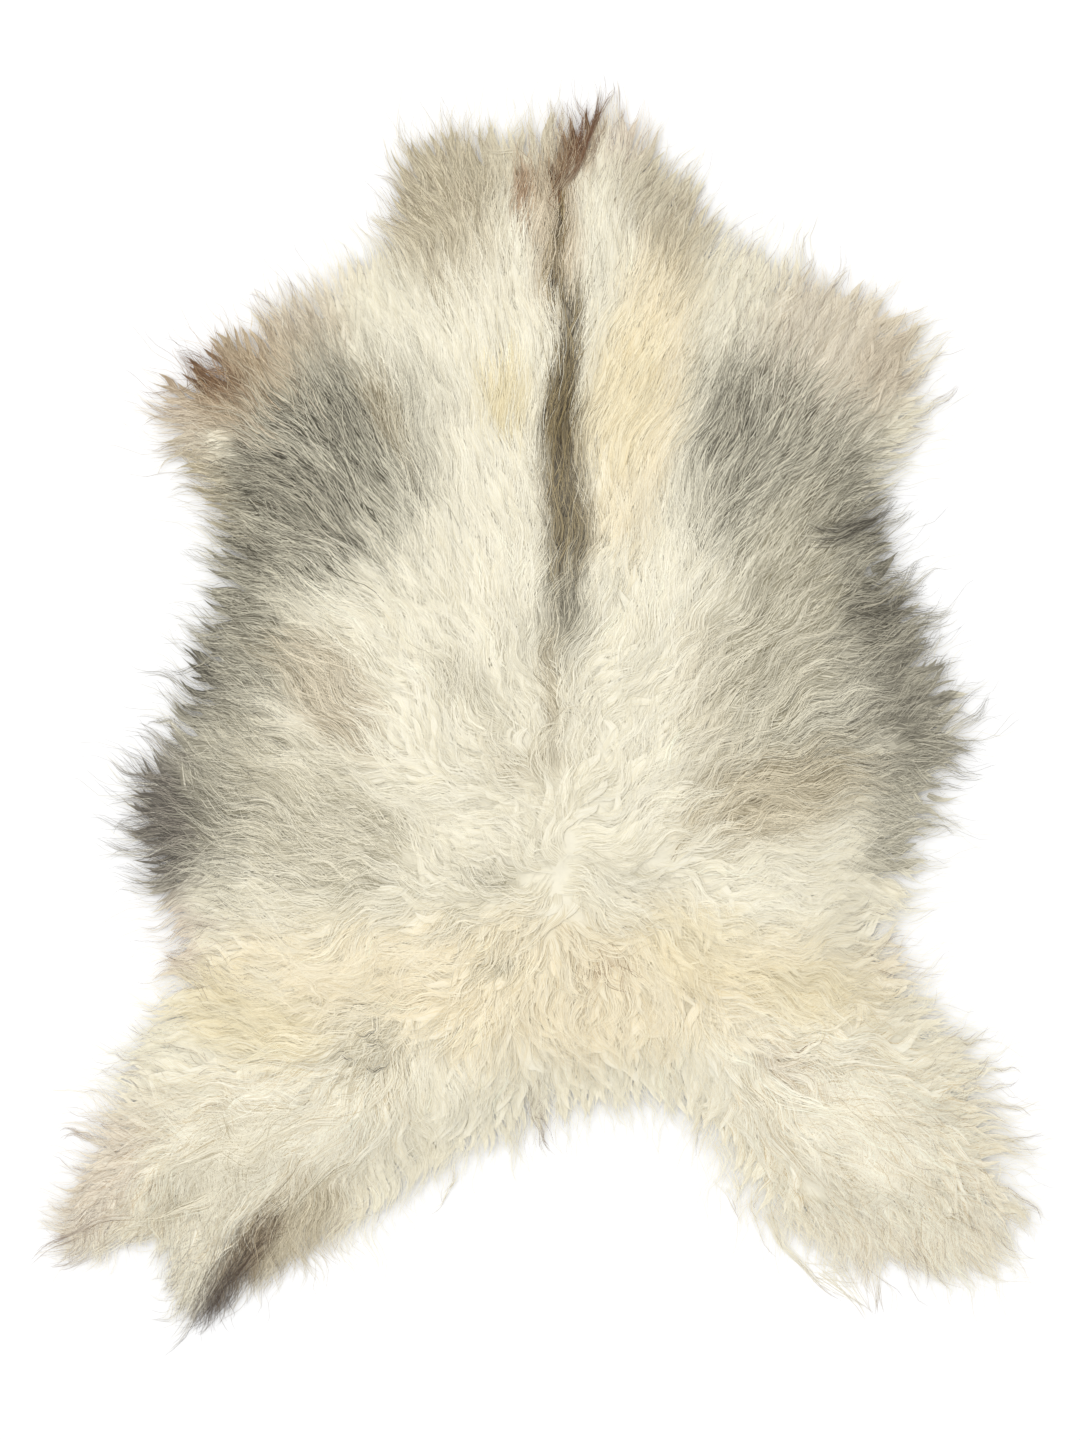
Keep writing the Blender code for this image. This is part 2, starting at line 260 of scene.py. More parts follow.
PATCHES = (
    Patch("loin band", "warm cream", 0, -241, 333, 72, 0, 0.75),
    Patch("hind leg, left", "silky", -277, -403, 171, 94, 35, 0.9),
    Patch("hind leg, right", "silky", 295, -394, 171, 112, 140, 0.95),
    Patch("right of the spine", "warm cream", 90, 294, 153, 47, 80, 0.9),
    Patch("right of the spine, stain", "yellow", 74, 281, 90, 36, 82, 0.42),
    Patch("left of the spine, stain", "yellow", -31, 284, 38, 26, 90, 0.85),
    Patch("neck, left", "olive beige", -92, 474, 94, 76, 110, 0.8),
    Patch("neck, middle", "olive beige", 0, 510, 59, 40, 80, 0.45),
    Patch("neck, front right", "pink beige", 83, 530, 29, 27, 70, 0.6),
    Patch("neck, right", "olive beige", 110, 454, 70, 43, 110, 0.55),
    Patch("shoulder, left", "tan", -223, 335, 63, 32, 25, 0.5),
    Patch("foreleg, left", "tan", -290, 308, 86, 59, 160, 0.85),
    Patch("foreleg tuft, left", "brown", -308, 314, 45, 23, 160, 0.9),
    Patch("foreleg end, left", "beige", -333, 267, 54, 27, 120, 0.6),
    Patch("foreleg underside, left", "olive beige", -302, 202, 59, 31, 125, 0.85),
    Patch("foreleg, right", "beige", 268, 339, 108, 72, 50, 0.5),
    Patch("foreleg end, right", "tan", 306, 312, 45, 36, 60, 0.3),
    Patch("ribs, left", "grey", -196, 206, 131, 94, 62, 1.0),
    Patch("ribs core, left", "dark grey", -238, 220, 47, 36, 120, 0.7),
    Patch("ribs upper core, left", "dark grey", -178, 281, 50, 34, 122, 0.65),
    Patch("ribs inner outline, left", "olive beige", -137, 270, 54, 15, 116, 0.6),
    Patch("ribs back core, left", "dark grey", -184, 177, 45, 32, 120, 0.5),
    Patch("armpit, left", "dark grey", -281, 132, 50, 31, 70, 0.75),
    Patch("ribs, right", "grey", 227, 222, 135, 77, 128, 0.9),
    Patch("ribs core, right", "dark grey", 166, 260, 45, 27, 110, 0.6),
    Patch("ribs outer core, right", "dark grey", 259, 236, 41, 25, 40, 0.15),
    Patch("armpit, right", "dark grey", 306, 176, 41, 25, 20, 0.85),
    Patch("flank, left", "grey", -277, 47, 94, 56, 80, 0.85),
    Patch("flank spots, left", "tan", -189, 24, 59, 36, 110, 0.66),
    Patch("flank front edge, left", "dark grey", -310, 47, 76, 22, 85, 0.85),
    Patch("flank inside, left", "pale grey", -216, -88, 112, 79, 155, 0.8),
    Patch("flank back, left", "grey", -302, -88, 81, 40, 95, 0.7),
    Patch("flank edge, left", "slate", -346, -94, 83, 32, 95, 0.9),
    Patch("flank edge front, left", "slate", -351, -25, 31, 20, 60, 0.6),
    Patch("flank, right", "grey", 245, 40, 117, 94, 75, 0.66),
    Patch("flank inside, right", "pale grey", 212, 69, 135, 56, 80, 0.75),
    Patch("flank back inside, right", "olive beige", 212, -73, 83, 40, 20, 0.8),
    Patch("flank waves, right", "olive beige", 148, 0, 92, 24, 98, 0.32),
    Patch("flank edge, right", "dark grey", 338, 33, 104, 47, 105, 0.72),
    Patch("flank front edge, right", "dark grey", 306, 105, 41, 27, 40, 0.6),
    Patch("flank back edge, right", "grey", 328, -88, 63, 36, 80, 0.7),
    Patch("mane lock", "tan", 39, 524, 46, 20, 72, 0.7),
    Patch("mane lock strands", "brown", 34, 526, 42, 10, 61, 0.92),
    Patch("neck tuft", "red brown", -15, 466, 34, 12, 85, 0.78),
    Patch("shoulder rim shade, left", "beige", -207, 380, 45, 26, 30, 0.45),
    Patch("stripe surround, neck", "tan", 11, 436, 86, 23, 92, 0.65),
    Patch("stripe, neck", "brown", 16, 467, 32, 4, 102, 0.95),
    Patch("stripe, neck root", "stripe", 17, 432, 30, 6, 88, 0.95),
    Patch("stripe, shoulder", "stripe", 14, 386, 31, 9, 112, 0.9),
    Patch("stripe, front withers", "stripe", 30, 352, 31, 11, 80, 0.9),
    Patch("stripe, withers", "stripe", 22, 310, 38, 15, 80, 0.95),
    Patch("stripe, front of the back", "stripe", 15, 258, 36, 16, 96, 0.95),
    Patch("stripe, back", "stripe", 24, 195, 70, 26, 92, 0.88),
    Patch("stripe, fading", "stripe", 20, 123, 54, 22, 96, 0.65),
    Patch("stripe, smudge", "grey", 20, 94, 52, 36, 70, 0.5),
    Patch("stripe, end", "olive beige", 9, 29, 54, 8, 96, 0.7),
    Patch("spine smudge", "olive beige", -11, -43, 36, 14, 10, 0.45),
    Patch("middle smudge, left", "pale grey", -65, 28, 41, 16, 130, 0.55),
    # Painted shade: these two pale grey veils stand for the shade at the wool's roots between curls.
    Patch("middle shade", "pale grey", 0, -30, 110, 70, 80, 0.14),
    Patch("loin shade", "pale grey", 10, -160, 120, 50, 0, 0.2),
    Patch("loin smudge", "pale grey", -40, -147, 32, 14, 20, 0.6),
    Patch("loin smudge, left", "pale grey", -71, -183, 25, 13, 120, 0.55),
    Patch("loin streak", "pale grey", -35, -223, 32, 11, 0, 0.7),
    Patch("loin line", "tan", 54, -226, 23, 5, 20, 0.8),
    Patch("waist stain, left", "yellow", -261, -273, 76, 41, 160, 0.55),
    Patch("loin stain, right", "yellow", 144, -210, 56, 40, 0, 0.35),
    Patch("waist stain, right", "yellow", 238, -246, 54, 31, 0, 0.45),
    Patch("thigh whorl, right", "beige", 216, -311, 32, 14, 160, 0.5),
    Patch("thigh curls, left", "pale grey", -155, -291, 41, 36, 90, 0.5),
    Patch("hind leg streak, right, 1", "olive beige", 288, -358, 34, 6, -10, 0.45),
    Patch("hind leg streak, right, 2", "olive beige", 280, -409, 20, 5, -40, 0.45),
    Patch("hind leg streak, right, 3", "olive beige", 331, -410, 18, 4, -8, 0.4),
    Patch("hind leg streak, right, 4", "olive beige", 204, -354, 22, 5, -68, 0.45),
    Patch("hind leg streak, right, 5", "olive beige", 221, -312, 27, 5, 28, 0.45),
    Patch("hind leg streak, left, 1", "olive beige", -334, -445, 31, 12, 32, 0.45),
    Patch("hind leg streak, left, 2", "olive beige", -280, -362, 23, 6, -25, 0.45),
    Patch("hind leg streak, left, 3", "olive beige", -204, -406, 31, 7, 55, 0.35),
    Patch("hind leg streak, left, 4", "olive beige", -250, -390, 27, 5, 60, 0.35),
    Patch("hind leg side, left", "pink beige", -405, -417, 81, 41, 60, 0.42),
    Patch("hind leg middle, left", "pale grey", -270, -395, 84, 34, 38, 0.55),
    Patch("hind leg inner lock, left", "olive beige", -227, -464, 72, 32, 52, 0.75),
    Patch("hind leg inner lock streak, left", "bronze", -263, -483, 60, 16, 58, 0.85),
    Patch("hind leg inner tip, left", "slate", -291, -530, 40, 15, 56, 0.95),
    Patch("hind leg edge, right", "pink beige", 414, -417, 99, 41, 80, 0.08),
    Patch("hind leg back edge, right", "pink beige", 306, -489, 81, 27, 160, 0.08),
    Patch("waist edge, right", "pink beige", 328, -210, 32, 25, 90, 0.2),
    Patch("waist edge, left", "pink beige", -331, -201, 40, 23, 90, 0.6),
    Patch("ribs pale, left", "cream", -99, 105, 54, 32, 60, 0.4),
    Patch("ribs inner edge, left", "grey", -128, 195, 54, 31, 60, 0.5),
    Patch("ribs inner edge, right", "grey", 155, 182, 67, 36, 110, 0.55),
    Patch("flank front, left", "pale grey", -196, 44, 63, 45, 110, 0.5),
)

# A patch is whole out to the first share of its half sizes and gone at the second. Its edge is ragged by
# about the third.
PATCH_CORE = 0.5
PATCH_EDGE = 1.3
PATCH_RAGGEDNESS = 0.28


class Reach(NamedTuple):
    """A place of the rim where the wool reaches further out than elsewhere, or less far."""

    place: str
    x: float
    y: float
    more: float


REACHES = (
    Reach("mane", 45, 560, 26),
    Reach("neck front, left", -54, 537, 6),
    Reach("neck side, left", -140, 497, 29),
    Reach("shoulder, left", -225, 392, 40),
    Reach("foreleg top, left", -292, 353, -26),
    Reach("foreleg end, left", -351, 294, 12),
    Reach("foreleg underside, left", -326, 213, 26),
    Reach("armpit, left", -303, 141, 21),
    Reach("flank front, left", -326, 42, 8),
    Reach("flank, left", -360, -25, 10),
    Reach("flank back, left", -385, -106, 4),
    Reach("thigh, left", -374, -291, -6),
    Reach("hind leg side, left", -410, -363, 7),
    Reach("outer toe, left", -441, -484, 12),
    Reach("cleft, left", -338, -502, -35),
    Reach("inner toe, left", -324, -547, 22),
    Reach("hind leg inside, left", -234, -511, -20),
    Reach("rump, left", -99, -439, 44),
    Reach("rump", 54, -372, -5),
    Reach("crotch, right", 131, -385, -20),
    Reach("hind leg root, right", 176, -444, 14),
    Reach("hind leg inside, right", 279, -507, 18),
    Reach("hind leg end, right", 324, -502, -18),
    Reach("hind leg toe, right", 382, -511, 5),
    Reach("hind leg side, right", 439, -426, -28),
    Reach("hind leg front, right", 423, -327, 14),
    Reach("thigh, right", 367, -255, -22),
    Reach("waist, right", 342, -192, 5),
    Reach("flank, right", 400, -25, -8),
    Reach("flank front, right", 364, 83, -32),
    Reach("armpit, right", 328, 159, -5),
    Reach("foreleg end, right", 367, 299, 32),
    Reach("foreleg top, right", 315, 382, -20),
    Reach("shoulder, right", 234, 425, -16),
    Reach("neck side, right", 158, 474, -15),
    Reach("neck front, right", 112, 515, -12),
    Reach("neck front, middle", -9, 554, 36),
    Reach("neck corner, left", -83, 541, -4),
    Reach("neck root, left", -157, 438, 14),
    Reach("flank front, left, 2", -319, 72, 13),
    Reach("outer toe bottom, left", -387, -490, -32),
    Reach("inner toe side, left", -331, -511, -40),
    Reach("hind leg root, left", -148, -460, 28),
    Reach("rump, left, 2", -76, -426, -12),
    Reach("waist, right, 2", 344, -156, 8),
    Reach("flank back, right", 382, -79, 20),
    Reach("flank, right, 2", 374, 51, -14),
    Reach("foreleg end, right, 2", 358, 348, 14),
    Reach("foreleg underside, right", 349, 249, 9),
    Reach("neck front, right, 2", 92, 550, 12),
)

# A row's reach fades over this distance.
REACH_RUN = 34.0


class Tips(NamedTuple):
    """A place where hairs turn dark towards their tips, and the share of those that do.

    brown is how brown those tips are rather than grey.
    """

    place: str
    x: float
    y: float
    reach: float
    brown: float
    strength: float


DARK_TIPS = (
    Tips("mane", 45, 546, 32, 1, 0.8),
    Tips("neck front, left", -90, 519, 36, 1, 0.3),
    Tips("neck side, left", -133, 488, 36, 1, 0.4),
    Tips("shoulder, left", -243, 384, 40, 1, 0.35),
    Tips("foreleg, left", -338, 303, 45, 1, 0.6),
    Tips("foreleg underside, left", -333, 240, 36, 1, 0.35),
    Tips("flank front, left", -324, 33, 45, 0, 0.6),
    Tips("flank, left", -360, -75, 76, 0, 0.85),
    Tips("waist, left", -338, -210, 40, 1, 0.35),
    Tips("thigh, left", -374, -309, 50, 1, 0.22),
    Tips("hind leg side, left", -418, -399, 45, 1, 0.2),
    Tips("outer toe, left", -432, -480, 43, 1, 0.5),
    Tips("inner toe, left", -310, -538, 45, 0.3, 0.9),
    Tips("rump, left", -180, -471, 40, 1, 0.12),
    Tips("rump", 7, -390, 20, 1, 0.7),
    Tips("hind leg front, right", 414, -318, 54, 1, 0.16),
    Tips("hind leg side, right", 441, -426, 54, 1, 0.14),
    Tips("hind leg end, right", 351, -507, 63, 1, 0.1),
    Tips("waist, right", 340, -205, 36, 1, 0.4),
    Tips("flank, right", 382, -3, 76, 0, 0.85),
    Tips("flank front, right", 351, 96, 40, 0, 0.7),
    Tips("armpit, right", 322, 177, 29, 0, 0.8),
    Tips("foreleg, right", 358, 303, 50, 1, 0.35),
    Tips("shoulder, right", 234, 411, 63, 1, 0.3),
    Tips("neck, right", 135, 483, 40, 1, 0.35),
)

# The colours that dark tips turn to, as 8-bit sRGB, and the share of a hair's length where they begin.
TIP_GREY = (62, 57, 50)
TIP_BROWN = (98, 62, 37)
DARK_FROM = 0.35


class Wisp(NamedTuple):
    """A lock with a place of its own: from its root to its tip, bowed sideways by bend.

    dark is the share of its hairs that turn dark, from the share dark_from of their length on.
    """

    place: str
    x: float
    y: float
    tip_x: float
    tip_y: float
    bend: float
    width: float
    hairs: int
    dark: float
    dark_from: float = DARK_FROM


def hind_leg_wave(side, x, y, tip_x, tip_y, bend):
    """One of the waves that lie on the wool of a hind leg."""
    return Wisp(f"hind leg wave, {side}", x, y, tip_x, tip_y, bend, width=9, hairs=24, dark=0, dark_from=0)


WISPS = (
    Wisp("mane, 1", 26, 482, 55, 566, 4, 5, 64, 1, 0.0),
    Wisp("mane, 2", 19, 487, 43, 560, 4, 5, 48, 0.9, 0.0),
    Wisp("mane, 3", 33, 496, 66, 564, -3, 4, 44, 0.9, 0.1),
    Wisp("mane, 4", 45, 505, 59, 544, 3, 3, 18, 0.8, 0.2),
    Wisp("mane, 5", 14, 469, 31, 534, 3, 5, 28, 0.7, 0.1),
    Wisp("neck curl", -29, 510, -57, 544, -14, 2.6, 9, 0.65),
    Wisp("neck corner, left", -104, 478, -132, 522, 5, 12, 24, 0.3),
    Wisp("neck side, left", -110, 453, -148, 490, 6, 10, 20, 0.4),
    Wisp("neck side, right", 122, 460, 141, 504, -6, 5.9, 15, 0.65),
    Wisp("neck root, right", 144, 424, 169, 465, -5, 5.2, 12, 0.45),
    Wisp("shoulder, right, 1", 180, 400, 203, 439, -6, 5.2, 14, 0.55),
    Wisp("shoulder, right, 2", 220, 375, 244, 421, 6, 5.9, 15, 0.65),
    Wisp("shoulder, right, 3", 254, 359, 281, 406, -5, 5.9, 15, 0.65),
    Wisp("foreleg top, right", 272, 348, 295, 398, 6, 5.2, 12, 0.45),
    Wisp("foreleg end, right, 1", 320, 318, 356, 362, -7, 11, 24, 0.4),
    Wisp("foreleg end, right, 2", 333, 280, 376, 301, 5, 10, 22, 0.4),
    Wisp("foreleg underside, right", 319, 260, 362, 266, -6, 5.9, 14, 0.45),
    Wisp("armpit curl, right", 245, 165, 319, 195, 11, 15, 60, 0.9, 0.0),
    Wisp("armpit, right", 299, 123, 337, 136, 8, 5.9, 15, 0.75),
    Wisp("flank front, right", 320, 94, 352, 145, -8, 5.9, 15, 0.85),
    Wisp("flank, right, 1", 311, 60, 353, 94, 7, 5.9, 15, 0.95),
    Wisp("flank, right, 2", 328, 24, 375, 48, -8, 5.9, 16, 1),
    Wisp("flank, right, 3", 346, -16, 404, 18, 12, 5.9, 20, 1),
    Wisp("flank, right, 4", 342, -4, 394, -4, -9, 4.5, 14, 1),
    Wisp("flank, right, 5", 340, -50, 400, -63, 9, 5.2, 15, 1),
    Wisp("flank back, right", 328, -94, 375, -106, -7, 5.9, 15, 0.85),
    Wisp("thigh, right", 342, -302, 383, -274, 6, 5.9, 15, 0.45),
    Wisp("hind leg front, right, 1", 369, -314, 414, -280, -8, 4.5, 12, 0.65),
    Wisp("hind leg front, right, 2", 387, -328, 437, -321, 10, 4.5, 12, 0.75),
    Wisp("hind leg front, right, 3", 396, -352, 443, -360, -6, 5.2, 14, 0.55),
    Wisp("hind leg side, right, 1", 405, -379, 459, -374, 5, 3.9, 9, 0.65),
    Wisp("hind leg side, right, 2", 407, -424, 455, -454, -8, 5.9, 16, 0.55),
    Wisp("hind leg side, right, 3", 392, -440, 434, -482, 7, 5.9, 15, 0.45),
    Wisp("hind leg toe, right, 1", 367, -444, 403, -490, -7, 10, 22, 0.3),
    Wisp("hind leg toe, right, 2", 340, -458, 370, -517, 6, 10, 24, 0.3),
    Wisp("hind leg toe, right, 3", 315, -454, 349, -509, -6, 5.9, 15, 0.45),
    Wisp("hind leg inside, right, 1", 272, -480, 302, -540, -2, 26, 80, 0.6, 0.55),
    Wisp("hind leg inside, right, 2", 209, -458, 273, -526, 7, 6, 30, 0.65, 0.5),
    Wisp("hind leg inside, right, 3", 191, -431, 213, -486, 6, 5.9, 15, 0.45),
    Wisp("hind leg inside, right, 4", 169, -415, 181, -472, -5, 10, 24, 0.2),
    Wisp("crotch, right", 146, -361, 139, -412, 5, 3.9, 9, 0.55),
    Wisp("rump lock", -4, -341, 13, -398, 7, 4.5, 14, 1, 0.2),
    Wisp("rump, left, 1", -79, -406, -99, -451, -5, 5.9, 14, 0.45),
    Wisp("rump, left, 2", -160, -442, -200, -485, 6, 10, 22, 0.3),
    Wisp("inner lock, left", -238, -448, -304, -548, 10, 24, 70, 1, 0.1),
    Wisp("inner toe, left, 1", -295, -490, -340, -572, -8, 14, 40, 0.7),
    Wisp("inner toe, left, 2", -302, -480, -328, -552, 6, 12, 30, 0.4),
    Wisp("outer toe, left, 1", -376, -454, -460, -492, 8, 5.9, 26, 1, 0.25),
    Wisp("outer toe, left, 2", -373, -467, -441, -499, -5, 4.5, 16, 0.95, 0.4),
    Wisp("outer toe, left, 3", -360, -458, -409, -490, 5, 5.9, 14, 0.45, 0.4),
    Wisp("hind leg front, right, 4", 378, -292, 415, -282, 6, 3, 10, 0.9, 0.3),
    Wisp("hind leg front, right, 5", 400, -323, 437, -325, -7, 3, 10, 0.9, 0.3),
    Wisp("hind leg side, left, 4", -400, -381, -436, -375, 6, 3, 10, 0.95, 0.3),
    Wisp("hind leg side, left, 5", -403, -406, -432, -399, -6, 3, 9, 0.95, 0.3),
    Wisp("hind leg toe, right, 4", 324, -464, 380, -514, 8, 5, 18, 0.5, 0.4),
    Wisp("hind leg side, left, 1", -389, -418, -438, -427, -7, 4.5, 12, 0.85),
    Wisp("hind leg side, left, 2", -385, -392, -436, -382, 9, 4.5, 14, 1),
    Wisp("hind leg side, left, 3", -380, -364, -427, -354, -6, 4.5, 12, 0.65),
    Wisp("thigh, left, 1", -355, -332, -398, -322, 8, 4.5, 12, 0.75),
    Wisp("thigh, left, 2", -344, -307, -383, -302, -7, 4.5, 12, 0.75),
    Wisp("waist, left", -310, -224, -351, -226, 6, 5.2, 12, 0.55),
    Wisp("flank back, left", -335, -93, -385, -104, 8, 5.9, 16, 1),
    Wisp("flank, left, 1", -337, -48, -383, -40, -8, 5.2, 15, 1),
    Wisp("flank, left, 2", -326, -4, -358, -10, 6, 5.9, 15, 1),
    Wisp("flank front, left", -297, 58, -337, 40, -6, 5.2, 14, 0.85),
    Wisp("foreleg underside, left", -301, 244, -346, 220, 6, 5.9, 15, 0.45),
    Wisp("foreleg end, left, 1", -313, 296, -362, 297, -6, 5.9, 16, 0.65),
    Wisp("foreleg end, left, 2", -310, 271, -357, 264, 6, 5.9, 15, 0.55),
    Wisp("foreleg top, left", -286, 316, -328, 332, -6, 5.9, 18, 1),
    Wisp("shoulder, left, 1", -230, 352, -263, 387, 6, 5.9, 15, 0.55),
    Wisp("shoulder, left, 2", -194, 370, -219, 410, -5, 5.9, 15, 0.55),
    Wisp("shoulder, left, 3", -157, 390, -184, 431, 5, 5.9, 15, 0.45),
    hind_leg_wave("left", -189, -361, -261, -390, 6),
    hind_leg_wave("left", -216, -397, -270, -449, -6),
    hind_leg_wave("left", -245, -343, -317, -370, -6),
    hind_leg_wave("left", -270, -379, -344, -413, 7),
    hind_leg_wave("left", -286, -424, -360, -454, -6),
    hind_leg_wave("left", -171, -399, -223, -449, 6),
    hind_leg_wave("left", -133, -361, -187, -413, -6),
    hind_leg_wave("left", -104, -388, -151, -440, 6),
    hind_leg_wave("left", -306, -341, -376, -363, 6),
    hind_leg_wave("left", -225, -309, -297, -323, 6),
    hind_leg_wave("left", -245, -417, -286, -474, 6),
    hind_leg_wave("right", 205, -330, 279, -352, 6),
    hind_leg_wave("right", 234, -356, 306, -386, -7),
    hind_leg_wave("right", 198, -364, 252, -420, 6),
    hind_leg_wave("right", 261, -309, 342, -321, -6),
    hind_leg_wave("right", 281, -341, 362, -357, 6),
    hind_leg_wave("right", 225, -392, 279, -449, -6),
    hind_leg_wave("right", 299, -388, 369, -426, 6),
    hind_leg_wave("right", 178, -370, 214, -435, -6),
    hind_leg_wave("right", 320, -424, 376, -471, -6),
    hind_leg_wave("right", 252, -420, 313, -474, 6),
    Wisp("thigh curl, left, 1", -169, -271, -144, -268, -13, 5, 18, 0.25, 0),
    Wisp("thigh curl, left, 2", -144, -269, -166, -279, -12, 5, 16, 0.2, 0),
    Wisp("thigh curl, left, 3", -160, -302, -136, -298, -13, 5, 18, 0.25, 0),
    Wisp("thigh curl, left, 4", -137, -299, -158, -309, -11, 5, 16, 0.2, 0),
    Wisp("thigh curl, left, 5", -185, -308, -164, -315, -11, 4, 14, 0.2, 0),
    Wisp("thigh curl, left, 6", -216, -238, -196, -260, -9, 3, 14, 0.05, 0),
    Wisp("thigh tuft, right, 1", 207, -311, 238, -304, 4, 5, 30, 0, 0),
    Wisp("thigh tuft, right, 2", 223, -305, 254, -282, 6, 5, 20, 0.15, 0),
    Wisp("thigh tuft, right, 3", 191, -291, 220, -310, -6, 5, 20, 0.1, 0),
)


class Layer(NamedTuple):
    """One layer of the coat.

    hairs and bundles are counts in a lock, and steps count the parts of a hair. length and spread are
    factors on the zones' lengths and widths, and unrest adds to theirs. lift is how high the locks ride on
    the wool below, stray how far single hairs leave their bundle, dark a factor on the coats' shares of
    dark hairs, depths the band of distances from the rim where locks root, and waves the band of the
    zones' waves where they grow.
    """

    name: str
    locks: int
    hairs: int
    bundles: int
    steps: int
    hair_width: float
    length: float
    spread: float
    lift: tuple
    stray: float
    unrest: float
    dark: float
    depths: tuple
    waves: tuple
    seed: int


CALM = (0, 19)
WAVY = (19, 90)
ANY = (0, 90)
DEEP = (0, 999)

LAYERS = (
    Layer("wool_calm_1", 560, 20, 5, 5, 0.66, 1.00, 1.2, (-0.4, 0.1), 2.0, 2, 1.0, DEEP, CALM, 2),
    Layer("wool_calm_2", 600, 20, 5, 5, 0.60, 1.00, 1.1, (0.0, 0.5), 2.5, 0, 0.95, DEEP, CALM, 3),
    Layer("wool_wavy_1", 500, 17, 4, 7, 0.70, 1.00, 1.2, (-0.6, 0.2), 2.0, 4, 1.32, DEEP, WAVY, 4),
    Layer("wool_wavy_2", 640, 17, 4, 7, 0.64, 1.00, 1.1, (-0.2, 0.8), 2.0, 2, 1.1, DEEP, WAVY, 5),
    Layer("wool_wavy_3", 640, 17, 3, 7, 0.60, 1.05, 0.9, (0.3, 1.6), 2.0, 0, 0.65, DEEP, WAVY, 6),
    Layer("wool_down", 400, 18, 5, 5, 0.55, 0.85, 1.5, (-0.2, 1.0), 5.0, 70, 0.8, (60, 999), (24, 90), 10),
    Layer("wool_rim", 520, 15, 4, 6, 0.48, 0.95, 0.9, (-1.0, 0.6), 4.0, 10, 1.0, (-2, 16), ANY, 7),
    Layer("wool_fringe", 4400, 1, 1, 7, 0.40, 1.35, 1.0, (-1.0, 1.0), 9.0, 24, 1.2, (-4, 14), ANY, 11),
    Layer("wool_guard", 3600, 1, 1, 8, 0.52, 1.25, 1.0, (0.8, 2.0), 6.0, 8, 0.6, DEEP, ANY, 8),
)

# The flat locks below the hairs: each is one arched ribbon, streaked along.
UNDER = Layer("wool_under", 3400, 1, 1, 6, 13.0, 0.80, 0.0, (-1.6, -0.8), 3.0, 14, 1.0, DEEP, ANY, 1)
UNDER_ARCH = 0.7
STREAKS_ACROSS = 15
STREAKS_ALONG = 1.6

WISP_LAYER = Layer("wool_wisps", 0, 0, 4, 8, 0.66, 1.0, 1.0, (0.6, 2.6), 3.0, 0, 1.0, DEEP, ANY, 9)
WISP_GATHER = 0.72


# Fields on the grid

CLOUD_CELLS = 97
RAY_START = 1000.0
ZONE_RAGGEDNESS = 2.5


class Field:
    """Numbers on the square grid, read off evenly between its points."""

    def __init__(self, values):
        self.values = values

    def line_before(self, distance, half, count):
        """The grid line before each distance from the middle, and how far past it that is, in steps."""
        position = np.clip((distance + half) / GRID_STEP, 0, count - GRID_INSET)
        line = position.astype(int)
        past = position - line
        return line, past[..., None] if self.values.ndim == 3 else past

    def at(self, place):
        """The values at places given as an array that ends in (x, y)."""
        rows, columns = self.values.shape[:2]
        left, across = self.line_before(place[..., 0], GRID_HALF[0], columns)
        low, up = self.line_before(place[..., 1], GRID_HALF[1], rows)
        below = self.values[low, left] * (1 - across) + self.values[low, left + 1] * across
        above = self.values[low + 1, left] * (1 - across) + self.values[low + 1, left + 1] * across
        return below * (1 - up) + above * up


def grid_places():
    """The grid's points, in rows from the hind legs to the neck."""
    xs = np.arange(-GRID_HALF[0], GRID_HALF[0] + GRID_STEP, GRID_STEP)
    ys = np.arange(-GRID_HALF[1], GRID_HALF[1] + GRID_STEP, GRID_STEP)
    return np.stack(np.meshgrid(xs, ys), axis=-1)


def blurred(values, radius):
    """The grid's values, evened out over about the radius, by a bell curve cut off at three times it."""
    half = int(3 * radius / GRID_STEP) + 1
    weights = np.exp(-0.5 * (np.arange(-half, half + 1) * GRID_STEP / radius) ** 2)
    weights /= weights.sum()
    for axis in (0, 1):
        pad = [(half, half) if k == axis else (0, 0) for k in range(values.ndim)]
        padded = np.pad(values, pad, mode="edge")
        count = values.shape[axis]
        parts = [np.take(padded, range(k, k + count), axis) * w for k, w in enumerate(weights)]
        values = sum(parts)
    return values


def rise(values):
    """How fast the grid's values rise along x and along y."""
    along_y, along_x = np.gradient(values, GRID_STEP)
    return np.stack((along_x, along_y), axis=-1)


def unit(vectors):
    return vectors / np.maximum(np.linalg.norm(vectors, axis=-1, keepdims=True), TINY)


def eased(share):
    """A share from 0 to 1 that leaves 0 and reaches 1 gently."""
    return share * share * (3 - 2 * share)


def cloud(place, size, seed):
    """Smooth noise from -1 to 1, with lumps about size across."""
    table = np.random.default_rng(seed).uniform(-1, 1, (CLOUD_CELLS, CLOUD_CELLS))
    scaled = place / size
    cell = np.floor(scaled).astype(int)
    across, up = np.moveaxis(eased(scaled - cell), -1, 0)
    x0, y0 = np.moveaxis(cell % CLOUD_CELLS, -1, 0)
    x1, y1 = np.moveaxis((cell + 1) % CLOUD_CELLS, -1, 0)
    low = table[y0, x0] * (1 - across) + table[y0, x1] * across
    high = table[y1, x0] * (1 - across) + table[y1, x1] * across
    return low * (1 - up) + high * up


def cad_heights(places):
    """How high the fleece's solid stands over each grid point, and 0 beside it."""
    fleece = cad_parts["fleece"]
    tree = BVHTree.FromObject(fleece, bpy.context.evaluated_depsgraph_get())
    down = Vector((0, 0, -1))
    heights = np.zeros(places.shape[:2])
    for row, column in np.ndindex(heights.shape):
        x, y = places[row, column] * MM
        hit = tree.ray_cast(Vector((x, y, RAY_START * MM)), down)[0]
        if hit is not None:
            heights[row, column] = hit.z / MM
    return heights


